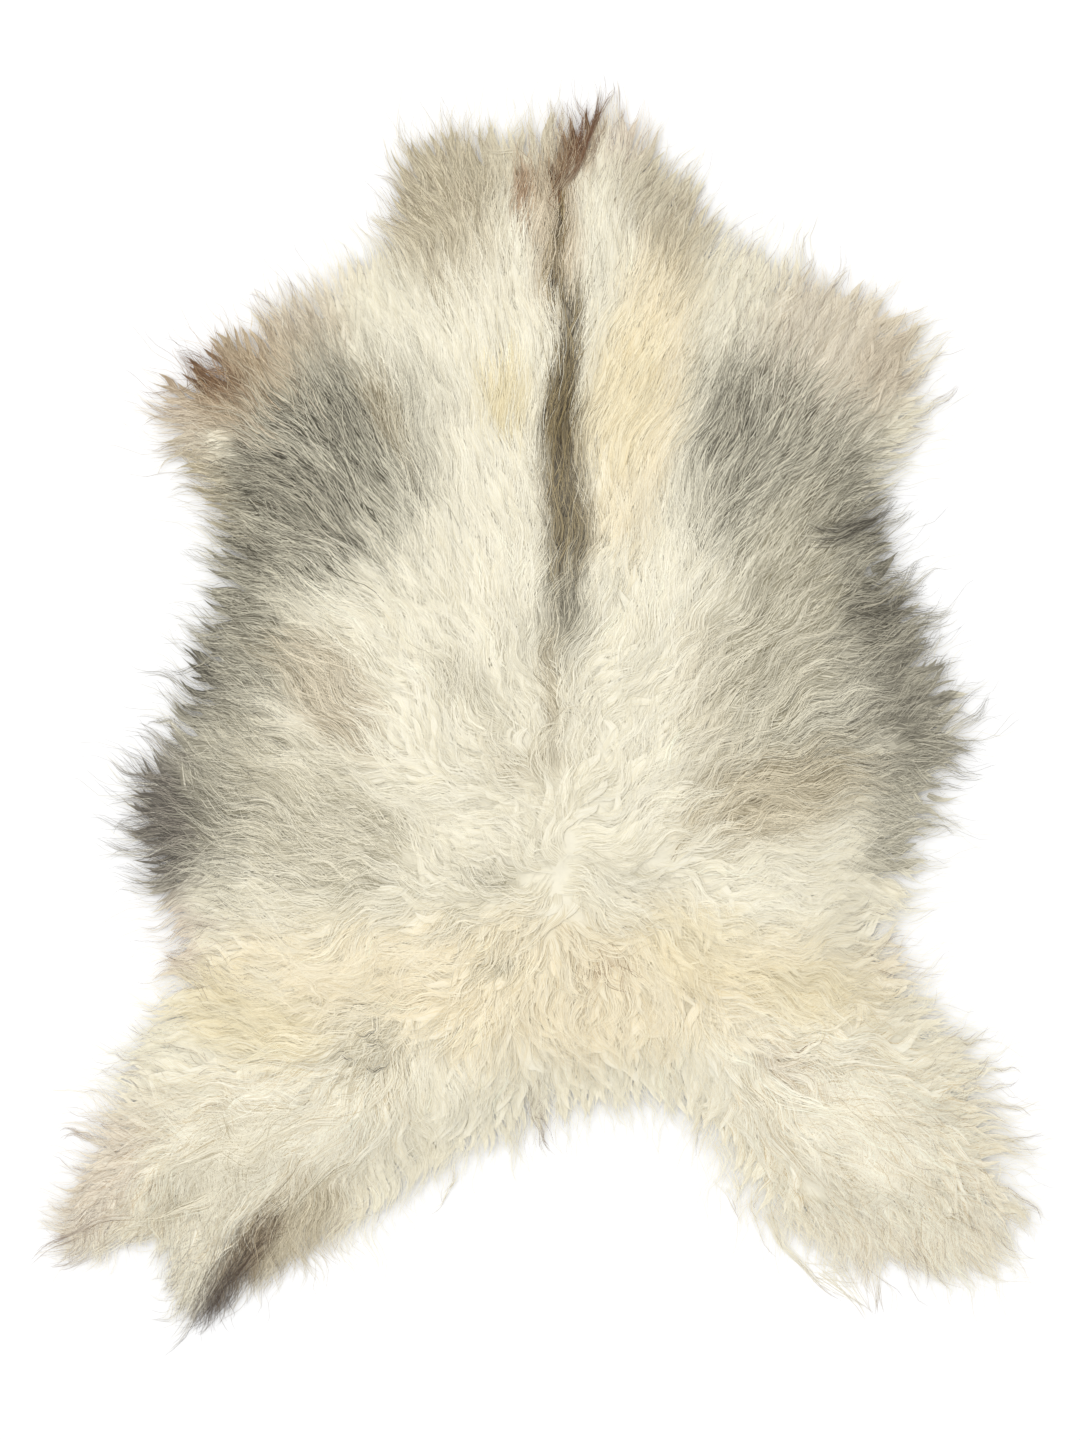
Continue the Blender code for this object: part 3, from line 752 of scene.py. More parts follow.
def rim_distance(places, inside):
    """How far each grid point lies inside the slab's rim; less than 0 outside it."""
    shifts = ((1, 0), (-1, 0), (1, 1), (-1, 1))
    surrounded = np.all([np.roll(inside, step, axis) for step, axis in shifts], axis=0)
    rim = places[inside & ~surrounded].astype(np.float32)
    nearest = np.empty(places.shape[:2])
    for row in range(len(places)):
        offset = places[row].astype(np.float32)[:, None] - rim[None]
        nearest[row] = np.sqrt((offset**2).sum(-1).min(-1))
    return np.where(inside, nearest, -nearest)


# The tables' values at places

LOCK_FIELDS = ("length", "width", "wave", "pitch", "unrest", "curl", "gather")


def middle_of(row):
    """Where a table's row lies, in the skin's own frame."""
    return np.array((row.x, row.y)) - TABLE_MIDDLE


def lie_directions(places):
    """The way the wool lies at each place, as a mean of the table's rows weighted by nearness."""
    total = np.zeros(places.shape)
    for row in LIES:
        nearness = 1 / (((places - middle_of(row)) ** 2).sum(-1) + LIE_REACH**2) ** 1.5
        angle = math.radians(row.angle)
        total += nearness[..., None] * np.array((math.cos(angle), math.sin(angle)))
    return unit(total)


def zone_values(places):
    """Length, width, wave, pitch, unrest, curl and gather at each place, along the last axis."""
    total = np.zeros((*places.shape[:-1], len(LOCK_FIELDS)))
    weights = np.zeros(places.shape[:-1])
    for zone in ZONES:
        weight = np.exp(-((places - middle_of(zone)) ** 2).sum(-1) / zone.reach**2) + SMALL
        total += weight[..., None] * np.array([getattr(zone, name) for name in LOCK_FIELDS])
        weights += weight
    return total / weights[..., None]


def nearby_sum(places, rows, run=None):
    """The rows' last values at each place, each fading with its distance over run or over its reach."""
    total = np.zeros(places.shape[:-1])
    for row in rows:
        far = ((places - middle_of(row)) ** 2).sum(-1)
        total += row[-1] * np.exp(-far / (run or row.reach) ** 2)
    return total


def linear(colour):
    """An 8-bit sRGB colour as linear light."""
    share = np.array(colour) / 255
    return np.where(share <= 0.04045, share / 12.92, ((share + 0.055) / 1.055) ** 2.4)


def patch_weight(patch, places, ragged):
    """How much of a patch's coat shows at each place: fading over its edge, which is ragged."""
    turn = math.radians(patch.turn)
    offset = places - middle_of(patch)
    lengthwise = offset[..., 0] * math.cos(turn) + offset[..., 1] * math.sin(turn)
    sideways = offset[..., 1] * math.cos(turn) - offset[..., 0] * math.sin(turn)
    far = np.hypot(lengthwise / patch.long, sideways / patch.wide) + PATCH_RAGGEDNESS * ragged
    fade = np.clip((PATCH_EDGE - far) / (PATCH_EDGE - PATCH_CORE), 0, 1)
    return patch.strength * eased(fade)


def coat_at(places):
    """The pale colour, the dark colour and the share of dark hairs at each place."""
    first = COATS["cream"]
    pale = np.broadcast_to(linear(first.pale), (*places.shape[:-1], 3)).copy()
    dark = np.broadcast_to(linear(first.dark), pale.shape).copy()
    share = np.full(places.shape[:-1], first.share)
    ragged = cloud(places, size=34, seed=91) * 0.6 + cloud(places, size=13, seed=92) * 0.4
    for patch in PATCHES:
        coat = COATS[patch.coat]
        weight = patch_weight(patch, places, ragged)
        pale += weight[..., None] * (linear(coat.pale) - pale)
        dark += weight[..., None] * (linear(coat.dark) - dark)
        share += weight * (coat.share - share)
    return pale, dark, share


class Skin:
    """The fields that the wool follows, worked out once from the solids and the tables."""

    def __init__(self):
        places = grid_places()
        heights = cad_heights(places)
        depth = rim_distance(places, heights > RIM_LEAST_HEIGHT)
        skirt = SKIRT_HEIGHT * np.clip(1 + depth / SKIRT_RUN, 0, 1)
        top = blurred(np.where(depth > 0, np.maximum(heights, SKIRT_HEIGHT), skirt), TOP_BLUR)
        tips = nearby_sum(places, DARK_TIPS)
        browner = [row._replace(strength=row.strength * row.brown) for row in DARK_TIPS]
        self.top = Field(top)
        self.depth = Field(depth)
        self.outward = Field(-unit(rise(blurred(depth, DEPTH_BLUR))))
        self.slope = Field(rise(blurred(top, SLOPE_BLUR)))
        self.lie = Field(lie_directions(places))
        self.zone = Field(zone_values(places))
        self.more_reach = Field(nearby_sum(places, REACHES, REACH_RUN))
        self.dark_tips = Field(np.clip(tips, 0, 1))
        self.brown_tips = Field(nearby_sum(places, browner) / np.maximum(tips, SMALL))

    def near_rim(self, place, run):
        """1 at the rim and beyond it, fading inward over the run."""
        return np.exp(-np.maximum(self.depth.at(place), 0) / run)

    def heading(self, place):
        """The way a hair points at a place: as the wool lies, and outward near the rim."""
        pull = EDGE_PULL * self.near_rim(place, EDGE_PULL_RUN)
        return unit(self.lie.at(place) + pull[..., None] * self.outward.at(place))


# The locks' roots and guide lines

# A guide line has this many steps, and is read up to this share of its length.
GUIDE_STEPS = 16
GUIDE_END = 0.9999

ROOT_JITTER = 0.45
RIM_ROOT_JITTER = 2.0

# How far locks reach past the rim and how long they are, as factors, and the least that a lock keeps.
REACH_UNEVENNESS = 0.45
REACH_FACTORS = (0.5, 1.2)
LENGTH_FACTORS = (0.8, 1.2)
LEAST_LENGTH = 0.4

# Locks turn less the nearer they are to the rim: fully from the run inward, and by the least at the rim.
TURNING_RUN = 40.0
LEAST_TURNING = 0.4

# The share of a lock's length at which its bend leaves its heading as it is.
BEND_START = 0.2

# A lock that would leave the box is drawn in, to no less than this share of its length.
LEAST_DRAWN = 0.1


class Unevenness(NamedTuple):
    """How locks differ: what neighbours share, as noise in lumps of a size, and what each has alone."""

    size: float
    seed: int
    shared: float
    alone: float

    def at(self, roots, rng):
        return self.shared * cloud(roots, self.size, self.seed) + self.alone * rng.normal(0, 1, len(roots))


TURNS = Unevenness(40, 50, 1.2, 0.25)
BENDS = Unevenness(50, 60, 1.1, 0.15)
PHASES = Unevenness(90, 70, 2.4 * math.pi, 0.22)


def in_layer(skin, layer, places):
    """Which of the places the layer's locks may root at; its band of waves has a ragged border."""
    depth = skin.depth.at(places)
    wave = skin.zone.at(places)[..., LOCK_FIELDS.index("wave")]
    wave = wave + ZONE_RAGGEDNESS * cloud(places, size=20, seed=40)
    in_depth = (depth >= layer.depths[0]) & (depth <= layer.depths[1])
    return in_depth & (wave >= layer.waves[0]) & (wave < layer.waves[1])


def scattered_roots(skin, layer, rng):
    """Places for the locks' roots, spread evenly over the layer's part of the skin."""
    places = grid_places().reshape(-1, 2)
    band = places[in_layer(skin, layer, places)]
    if layer.depths != DEEP:
        chosen = rng.permutation(np.arange(layer.locks) % len(band))
        return band[chosen] + rng.uniform(-RIM_ROOT_JITTER, RIM_ROOT_JITTER, (layer.locks, 2))
    pitch = math.sqrt(len(band) * GRID_STEP**2 / layer.locks)
    rows = int(2 * GRID_HALF[1] / pitch) + 2
    columns = int(2 * GRID_HALF[0] / pitch) + 2
    row, column = np.mgrid[0:rows, 0:columns]
    start = rng.uniform(0, pitch, 2)
    grid = np.stack((column + 0.5 * (row % 2), row), axis=-1) * pitch - np.array(GRID_HALF) - start
    jitter = rng.uniform(-ROOT_JITTER, ROOT_JITTER, (rows * columns, 2)) * pitch
    grid = grid.reshape(-1, 2) + jitter
    return grid[in_layer(skin, layer, grid)]


class Guides(NamedTuple):
    """The locks' middle lines, with their widths and how far they gather.

    hairs counts each lock's hairs, dark is the share of them that turn dark, and dark_from where on
    their length they start to.
    """

    line: np.ndarray
    width: np.ndarray
    gather: np.ndarray
    hairs: np.ndarray
    dark: np.ndarray
    dark_from: np.ndarray


def lock_lengths(skin, roots, layer, length, rng):
    """The locks' lengths: those that root near the rim end at their reach beyond it."""
    count = len(roots)
    uneven = 1 + REACH_UNEVENNESS * cloud(roots, size=24, seed=80)
    reach = EDGE_REACH * uneven * rng.uniform(*REACH_FACTORS, count)
    reach = reach * layer.length + skin.more_reach.at(roots)
    room = np.maximum(skin.depth.at(roots), 0) + reach
    length = length * layer.length * rng.uniform(*LENGTH_FACTORS, count)
    return np.where(room < length, np.maximum(room, LEAST_LENGTH * length), length)


def guide_lines(skin, roots, layer, rng):
    """A middle line for each lock, that follows the wool's lie in waves."""
    count = len(roots)
    length, width, wave, pitch, unrest, curl, gather = np.moveaxis(skin.zone.at(roots), -1, 0)
    length = lock_lengths(skin, roots, layer, length, rng)
    turning = np.clip(skin.depth.at(roots) / TURNING_RUN, LEAST_TURNING, 1)
    turn = np.radians(unrest + layer.unrest) * turning * TURNS.at(roots, rng)
    bend = np.radians(curl) * turning * BENDS.at(roots, rng)
    phase = PHASES.at(roots, rng)
    place = roots.copy()
    line = [place]
    for step in range(GUIDE_STEPS):
        share = (step + 0.5) / GUIDE_STEPS
        heading = skin.heading(place)
        angle = np.arctan2(heading[:, 1], heading[:, 0]) + turn + bend * (share - BEND_START)
        angle += np.radians(wave) * np.sin(2 * np.pi * share * length / pitch + phase)
        stride = (length / GUIDE_STEPS)[:, None]
        place = place + stride * np.stack((np.cos(angle), np.sin(angle)), axis=-1)
        line.append(place)
    gather = gather + (EDGE_GATHER - gather) * skin.near_rim(roots, EDGE_GATHER_RUN)
    hairs = np.full(count, layer.hairs)
    dark = skin.dark_tips.at(place) * layer.dark
    line = within_box(np.stack(line, axis=1))
    return Guides(line, width * layer.spread, gather, hairs, dark, np.full(count, DARK_FROM))


def within_box(line):
    """The lines, drawn in towards their roots where they would leave the box that the wool may fill."""
    low, high = np.array(cad_box)[:, :2] / MM
    root = line[:, :1]
    step = line - root
    room = np.where(step > 0, high + BOX_MARGIN - root, root - low + BOX_MARGIN)
    share = (room / np.maximum(np.abs(step), SMALL)).min(axis=(1, 2))
    return root + step * np.clip(share, LEAST_DRAWN, 1)[:, None, None]


def along_guides(line, lock, share):
    """Places on the guide lines of the given locks, at shares of their length, and the sideways way."""
    on_line = np.clip(share, 0, GUIDE_END)
    position = on_line * GUIDE_STEPS
    low = position.astype(int)
    part = (position - low)[..., None]
    index = lock[:, None]
    place = line[index, low] * (1 - part) + line[index, low + 1] * part
    ahead = unit(line[index, low + 1] - line[index, low])
    beyond = (share - on_line)[..., None]
    span = np.linalg.norm(line[:, -1] - line[:, 0], axis=-1)[lock][:, None, None]
    place = place + ahead * beyond * span
    return place, np.stack((ahead[..., 1], -ahead[..., 0]), axis=-1)


# Hairs

# Where on its lock's length a hair starts and ends.
HAIR_STARTS = (-0.2, 0.25)
HAIR_ENDS = (0.6, 1.1)

# Where bundles root across their lock, from -1 to 1, and how far hairs lie from their bundle's middle at
# its root and at its tip. The power sets how soon they gather.
BUNDLE_ROOTS = (-0.9, 0.9)
ROOT_SCATTER = 0.35
TIP_SCATTER = 0.09
GATHER_POWER = 1.2

# A bundle swings to the sides by so much, and so many times on its way.
SWINGS = (0.3, 2.0)
SWING_TURNS = (0.8, 2.0)

# A lock's middle stands this far above its edges, and its roots start this far down in the wool.
LOCK_ROUNDNESS = 0.9
ROOT_SINK = 2.5

# How far bundles and hairs lie above or below their lock, and what hairs on the floor keep clear of it.
BUNDLE_LIFTS = (-0.3, 0.3)
HAIR_LIFTS = (-0.25, 0.25)
FLOOR_LIFTS = (0, 0.6)

# How much of their lift locks have at the rim, where 1 is all of it. It changes by 1 over the run across
# the rim, but never falls below the least.
RIM_LIFT = 1.2
RIM_LIFT_RUN = 30.0
LEAST_RIM_LIFT = 0.25

HAIR_WIDTHS = (0.7, 1.25)

# How much locks and hairs differ in brightness, and how far off, along the lie and any way, bundles and
# hairs take their colour from the coat.
LOCK_SHADES = 0.032
HAIR_SHADES = 0.022
BUNDLE_ASTRAY = 11.0
HAIR_ASTRAY = 8.0
HAIR_ASIDE = 2.5

# How much of a coat's dark colour its dark hairs and its pale ones have.
DARK_BLENDS = (0.45, 1.0)
PALE_BLENDS = (0.0, 0.35)

# Painted shade: hairs are darker by this share at their roots, where shade falls deep in the wool.
ROOT_PAINTED_SHADE = 0.05
ROOT_PAINTED_SHADE_RISE = 1.6

# How dark a dark tip gets, over how much of the hair's length, and the limits of every colour.
TIP_DEPTHS = (0.5, 1.0)
TIP_RUN = 0.5
COLOUR_LIMITS = (0.01, 0.97)


def tapered(share, end, power, root, rise):
    """A ribbon's width at shares of its length: less at its root, and drawn to a point."""
    return np.clip(end - share, 0, 1) ** power * (root + (1 - root) * np.minimum(share * rise, 1))


def settled(lift, share):
    """The lift at shares of a lock's length: it lies down towards its tip."""
    return lift * np.clip(1.2 - share, 0, 1) ** 0.6


def with_height(place, height):
    return np.concatenate((place, height[..., None]), axis=-1)


class Hairs:
    """The hairs of a layer, in bundles that draw together towards the tips of their locks."""

    def __init__(self, skin, layer, guides, rng):
        self.skin = skin
        self.layer = layer
        self.guides = guides
        self.rng = rng
        self.locks = len(guides.line)
        self.lock = np.repeat(np.arange(self.locks), guides.hairs)
        self.count = len(self.lock)
        self.bundle = rng.integers(0, layer.bundles, self.count)
        self.share = np.linspace(0, 1, layer.steps + 1)[None]
        self.rim = skin.near_rim(guides.line[:, -1], RIM_RUN)[self.lock]

    def of_bundles(self, values):
        """The bundles' values, one row for each hair."""
        return values[self.lock, self.bundle][:, None]

    def bundles_even(self, low, high):
        return self.of_bundles(self.rng.uniform(low, high, (self.locks, self.layer.bundles)))

    def hairs_even(self, low, high):
        return self.rng.uniform(low, high, self.count)[:, None]

    def hairs_bell(self, spread):
        return self.rng.normal(0, spread, self.count)[:, None]

    def places(self):
        """Where the hairs run, seen from above, and how far across its lock each lies, from -1 to 1."""
        shortest, longest = HAIR_ENDS
        first = self.hairs_even(*HAIR_STARTS) * (self.layer.bundles > 1)
        last = self.hairs_even(shortest - RIM_THINNING * self.rim, longest)
        along, side = along_guides(self.guides.line, self.lock, first + (last - first) * self.share)
        start = self.bundles_even(*BUNDLE_ROOTS)
        root = start + self.hairs_bell(ROOT_SCATTER)
        tip = start * (1 - self.guides.gather[self.lock][:, None]) + self.hairs_bell(TIP_SCATTER)
        drawn = self.share**GATHER_POWER
        across = root * (1 - drawn) + tip * drawn
        offset = across * self.guides.width[self.lock][:, None] / 2 + self.swings()
        offset = offset + self.layer.stray * self.hairs_bell(1) * self.share**2 * 0.5
        return along + offset[..., None] * side, np.clip(across, -1, 1)

    def swings(self):
        """How far each hair's bundle swings to the side."""
        swing = self.bundles_even(*SWINGS)
        turns = self.bundles_even(*SWING_TURNS)
        phase = self.bundles_even(0, 2 * np.pi)
        return swing * self.share * np.sin(2 * np.pi * turns * self.share + phase)

    def heights(self, place, across):
        """How high the hairs lie: sunk at their roots, and round across their lock."""
        lift = self.rng.uniform(*self.layer.lift, self.locks)[self.lock][:, None]
        lift = lift + LOCK_ROUNDNESS * (1 - across**2)
        lift = settled(lift + self.bundles_even(*BUNDLE_LIFTS), self.share)
        sunk = ROOT_SINK * (1 - self.share) ** 3
        at_rim = np.clip(self.skin.depth.at(place) / RIM_LIFT_RUN + RIM_LIFT, LEAST_RIM_LIFT, 1)
        height = self.skin.top.at(place) + lift * at_rim - sunk + self.hairs_even(*HAIR_LIFTS)
        return np.maximum(height, FLOOR_CLEARANCE + self.hairs_even(*FLOOR_LIFTS))

    def widths(self):
        finer = (1 - RIM_FINENESS * self.rim)[:, None]
        taper = tapered(self.share, end=1.12, power=0.55, root=0.6, rise=6)
        return self.layer.hair_width * (self.hairs_even(*HAIR_WIDTHS) * finer) * taper

    def colours(self, place):
        """The hairs' colours from root to tip, each from the coat near the middle of its length, with
        painted shade at their roots.
        """
        lock_shade = self.rng.normal(1, LOCK_SHADES, self.locks)[self.lock]
        middle = place[:, self.layer.steps // 2]
        astray = self.of_bundles(self.rng.normal(0, BUNDLE_ASTRAY, (self.locks, self.layer.bundles)))
        sampled = middle + astray * self.skin.lie.at(middle)
        aside = self.rng.normal(0, HAIR_ASTRAY, (self.count, 1)) * self.skin.lie.at(sampled)
        aside = aside + self.rng.normal(0, HAIR_ASIDE, (self.count, 2))
        pale, dark, dark_share = coat_at(sampled + aside)
        is_dark = (self.rng.random(self.count) < dark_share * self.layer.dark)[:, None]
        blend = np.where(is_dark, self.hairs_even(*DARK_BLENDS), self.hairs_even(*PALE_BLENDS))
        hair = pale * (1 - blend) + dark * blend
        hair = hair * (self.rng.normal(1, HAIR_SHADES, self.count) * lock_shade)[:, None]
        # Painted shade: each hair is darker towards its root.
        painted_root_shade = 1 - ROOT_PAINTED_SHADE + ROOT_PAINTED_SHADE * np.clip(self.share * ROOT_PAINTED_SHADE_RISE, 0, 1)
        return self.with_dark_tips(hair[:, None] * painted_root_shade[..., None])

    def with_dark_tips(self, colour):
        """The hairs' colours, with a share of the hairs turned dark towards their tips."""
        depth = self.rng.uniform(*TIP_DEPTHS, self.count)
        depth = depth * (self.rng.random(self.count) < self.guides.dark[self.lock])
        start = self.guides.dark_from[self.lock][:, None]
        darkened = depth[:, None] * np.clip((self.share - start) / TIP_RUN, 0, 1)
        brown = self.skin.brown_tips.at(self.guides.line[:, -1])[self.lock]
        grey = linear(TIP_GREY)
        tip = grey + brown[:, None] * (linear(TIP_BROWN) - grey)
        return np.clip(colour + darkened[..., None] * (tip[:, None] - colour), *COLOUR_LIMITS)

    def grow(self):
        """All the hairs, as one mesh."""
        place, across = self.places()
        points = with_height(place, self.heights(place, across))
        width = self.widths()
        colours = {"Coat": self.colours(place)}
        return ribbon_mesh(self.layer.name, points, width, across, self.skin.slope.at(place), colours)


def grow_layer(skin, layer):
    """The hairs of a layer whose locks are spread over the skin."""
    rng = np.random.default_rng(layer.seed)
    roots = scattered_roots(skin, layer, rng)
    guides = guide_lines(skin, roots, layer, rng)
    return Hairs(skin, layer, guides, rng).grow()


def grow_wisps(skin):
    """The locks with a place of their own, each along a bow from its root to its tip."""
    rng = np.random.default_rng(WISP_LAYER.seed)
    root = np.array([middle_of(wisp) for wisp in WISPS])
    tip = np.array([(wisp.tip_x, wisp.tip_y) for wisp in WISPS]) - TABLE_MIDDLE
    bend, width, hairs, dark, dark_from = np.array([wisp[5:] for wisp in WISPS]).T
    ahead = tip - root
    side = unit(np.stack((ahead[:, 1], -ahead[:, 0]), axis=-1))
    share = np.linspace(0, 1, GUIDE_STEPS + 1)
    bow = bend[:, None] * np.sin(np.pi * share) + 0.25 * bend[:, None] * np.sin(3 * np.pi * share)
    line = root[:, None] + ahead[:, None] * share[:, None] + bow[..., None] * side[:, None]
    gather = np.full(len(WISPS), WISP_GATHER)
    guides = Guides(within_box(line), 2 * width, gather, hairs.astype(int), dark, dark_from)
    return Hairs(skin, WISP_LAYER, guides, rng).grow()


# The flat locks' widths, as factors. This share is left at the rim, and it changes by 1 over the run
# across it, but never falls below the least.
UNDER_WIDTHS = (0.7, 1.2)
UNDER_RIM_WIDTH = 0.75
UNDER_RIM_RUN = 22.0
LEAST_UNDER_WIDTH = 0.03

# How far to a side each flat lock leans, as a place across a round lock.
UNDER_BANKS = (-0.5, 0.5)


def grow_under(skin):
    """The flat locks below the hairs. They carry both colours of the coat, and their material mixes them."""
    layer = UNDER
    rng = np.random.default_rng(layer.seed)
    guides = guide_lines(skin, scattered_roots(skin, layer, rng), layer, rng)
    count = len(guides.line)
    share = np.linspace(0, 1, layer.steps + 1)[None]
    place, _ = along_guides(guides.line, np.arange(count), np.broadcast_to(share, (count, layer.steps + 1)))
    lift = settled(rng.uniform(*layer.lift, count)[:, None], share)
    height = np.maximum(skin.top.at(place) + lift - 2 * ROOT_SINK * (1 - share) ** 3, FLOOR_CLEARANCE)
    width = layer.hair_width * rng.uniform(*UNDER_WIDTHS, count)[:, None]
    width = width * tapered(share, end=1.05, power=0.6, root=0.5, rise=4)
    width = width * np.clip(skin.depth.at(place) / UNDER_RIM_RUN + UNDER_RIM_WIDTH, LEAST_UNDER_WIDTH, 1)
    pale, dark, dark_share = coat_at(place)
    colours = {"Coat": pale, "Coat dark": np.concatenate((dark, dark_share[..., None]), axis=-1)}
    bank = rng.uniform(*UNDER_BANKS, (count, 1)) * np.ones_like(share)
    slope = skin.slope.at(place)
    return ribbon_mesh(layer.name, with_height(place, height), width, bank, slope, colours, UNDER_ARCH)


# Ribbons

# How far the shading turns sideways across a lock, across a hair and across a ribbon with an arch.
LOCK_LEAN = 0.16
HAIR_LEAN = 0.125
ARCHED_LEAN = 1.5 * HAIR_LEAN

# The share of a ribbon's shading that comes from its own slope. The rest comes from the wool below it.
OWN_SLOPE = 0.3

# How many bake cells lie side by side, by the vertices across a ribbon, and the cells' margins.
CELLS_ACROSS = {2: 256, 3: 64}
CELL_SIDE_MARGIN = 0.14
CELL_END_MARGIN = 0.04


def ribbon_surface(points, width, bank, slope, arch):
    """The ribbons' vertices, rows of them across and then the tip, and the directions that they shade in.

    bank leans the shading sideways, so that a lock looks round, and slope is the rise of the wool below.
    """
    ahead = unit(np.gradient(points, axis=1))
    side = unit(np.stack((ahead[..., 1], -ahead[..., 0], np.zeros(points.shape[:2])), axis=-1))
    up = np.cross(side, ahead)
    ground = unit(np.concatenate((-slope, np.ones((*points.shape[:2], 1))), axis=-1))
    facing = unit(OWN_SLOPE * up + (1 - OWN_SLOPE) * ground + LOCK_LEAN * bank[..., None] * side)
    shifts = (-1, 0, 1) if arch else (-1, 1)
    lean = ARCHED_LEAN if arch else HAIR_LEAN
    places = []
    normals = []
    for shift in shifts:
        spread = side * (shift * width[..., None] / 2)
        raised = up * (arch * (1 - abs(shift)))
        places.append((points + spread + raised)[:, :-1])
        normals.append(unit(facing + lean * shift * side)[:, :-1])
    return rows_and_tip(places, points), rows_and_tip(normals, facing)


def rows_and_tip(columns, middle):
    """One list of vertices for each ribbon: its columns' values row by row, and its middle's last one."""
    rows = np.stack(columns, axis=2).reshape(len(middle), -1, middle.shape[-1])
    return np.concatenate((rows, middle[:, -1:]), axis=1)


def ribbon_pattern(columns, rows):
    """The vertices of one ribbon's faces in turn, and the faces' sizes."""
    pattern = []
    sizes = []
    for row in range(rows - 1):
        for column in range(columns - 1):
            corner = row * columns + column
            pattern += [corner, corner + 1, corner + columns + 1, corner + columns]
            sizes.append(4)
    for column in range(columns - 1):
        corner = (rows - 1) * columns + column
        pattern += [corner, corner + 1, rows * columns]
        sizes.append(3)
    return np.array(pattern), np.array(sizes)


def ribbon_faces(mesh, count, vertices, pattern, sizes):
    """Gives the mesh the faces of all its ribbons, each with so many vertices."""
    loops = (pattern[None] + vertices * np.arange(count)[:, None]).ravel()
    starts = np.concatenate(([0], np.cumsum(sizes)[:-1]))
    loop_starts = (starts[None] + len(pattern) * np.arange(count)[:, None]).ravel()
    mesh.loops.add(len(loops))
    mesh.loops.foreach_set("vertex_index", loops.astype(np.int32))
    mesh.polygons.add(len(loop_starts))
    mesh.polygons.foreach_set("loop_start", loop_starts.astype(np.int32))
    mesh.update(calc_edges=True)


def bake_cells(count, columns, rows, pattern):
    """Map places that give every ribbon a cell of its own, with its length up the cell."""
    cells = CELLS_ACROSS[columns]
    index = np.arange(count)
    cell = np.stack((index % cells, index // cells), axis=-1)
    sideways = (pattern % columns) / (columns - 1)
    across = CELL_SIDE_MARGIN + (1 - 2 * CELL_SIDE_MARGIN) * sideways
    across = np.where(pattern == columns * rows, 0.5, across)
    up = CELL_END_MARGIN + (1 - 2 * CELL_END_MARGIN) * (pattern // columns) / rows
    inside = np.stack((across, up), axis=-1)
    return (cell[:, None] + inside[None]) / np.array((cells, math.ceil(count / cells)))


def paint(mesh, name, colour):
    """Adds a colour for each vertex. Three numbers make an opaque colour, and four are kept as they are."""
    tint = np.ones((len(mesh.vertices), 4))
    tint[:, :colour.shape[-1]] = colour.reshape(len(tint), -1)
    mesh.attributes.new(name, "FLOAT_COLOR", "POINT").data.foreach_set("color", tint.ravel())


def ribbon_mesh(name, points, width, bank, slope, colours, arch=0.0):
    """Pointed ribbons that follow rows of points, as one piece. An arch raises their middles."""
    count, stations = points.shape[:2]
    columns = 3 if arch else 2
    rows = stations - 1
    place, normal = ribbon_surface(points, width, bank, slope, arch)
    pattern, sizes = ribbon_pattern(columns, rows)
    mesh = bpy.data.meshes.new(name)
    mesh.vertices.add(count * place.shape[1])
    mesh.vertices.foreach_set("co", (place * MM).ravel())
    ribbon_faces(mesh, count, place.shape[1], pattern, sizes)
    for colour_name, colour in colours.items():
        paint(mesh, colour_name, rows_and_tip([colour[:, :-1]] * columns, colour))
    cells = bake_cells(count, columns, rows, pattern)
    mesh.uv_layers.new(name="OFBake").data.foreach_set("uv", cells.ravel())
    mesh.shade_smooth()
    mesh.normals_split_custom_set_from_vertices(normal.reshape(-1, 3))
    return add_piece(name, mesh)


def add_piece(name, mesh):
    piece = bpy.data.objects.new(name, mesh)
    bpy.context.collection.objects.link(piece)
    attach(piece, "root")
    return piece


# Materials

def node(tree, kind, sockets=None, **properties):
    """A new node, with its properties and its sockets' values."""
    made = tree.nodes.new(kind)
    for name, value in properties.items():
        setattr(made, name, value)
    for socket, value in (sockets or {}).items():
        made.inputs[socket].default_value = value
    return made


def link(tree, source, output, target, socket):
    tree.links.new(source.outputs[output], target.inputs[socket])


def new_material(name, roughness):
    material = bpy.data.materials.new(name)
    material.use_nodes = True
    shader = material.node_tree.nodes["Principled BSDF"]
    shader.inputs["Roughness"].default_value = roughness
    return material, material.node_tree, shader


def wool_shader(name):
    material, tree, shader = new_material(name, 0.62)
    shader.inputs["Specular IOR Level"].default_value = 0.3
    shader.inputs["Sheen Weight"].default_value = 0.2
    shader.inputs["Sheen Roughness"].default_value = 0.45
    return material, tree, shader


def wool_material():
    """Hair in the colours of its coat, a little uneven."""
    material, tree, shader = wool_shader("wool")
    coat = node(tree, "ShaderNodeAttribute", attribute_name="Coat")
    place = node(tree, "ShaderNodeTexCoord")
    patches = node(tree, "ShaderNodeTexNoise", {"Scale": 260, "Detail": 2})
    strength = node(tree, "ShaderNodeMapRange", {"To Min": 0.94, "To Max": 1.04})
    mixed = node(tree, "ShaderNodeVectorMath", operation="SCALE")
    link(tree, place, "Object", patches, "Vector")
    link(tree, patches, "Fac", strength, "Value")
    link(tree, coat, "Color", mixed, 0)
    link(tree, strength, "Result", mixed, "Scale")
    link(tree, mixed, "Vector", shader, "Base Color")
    return material


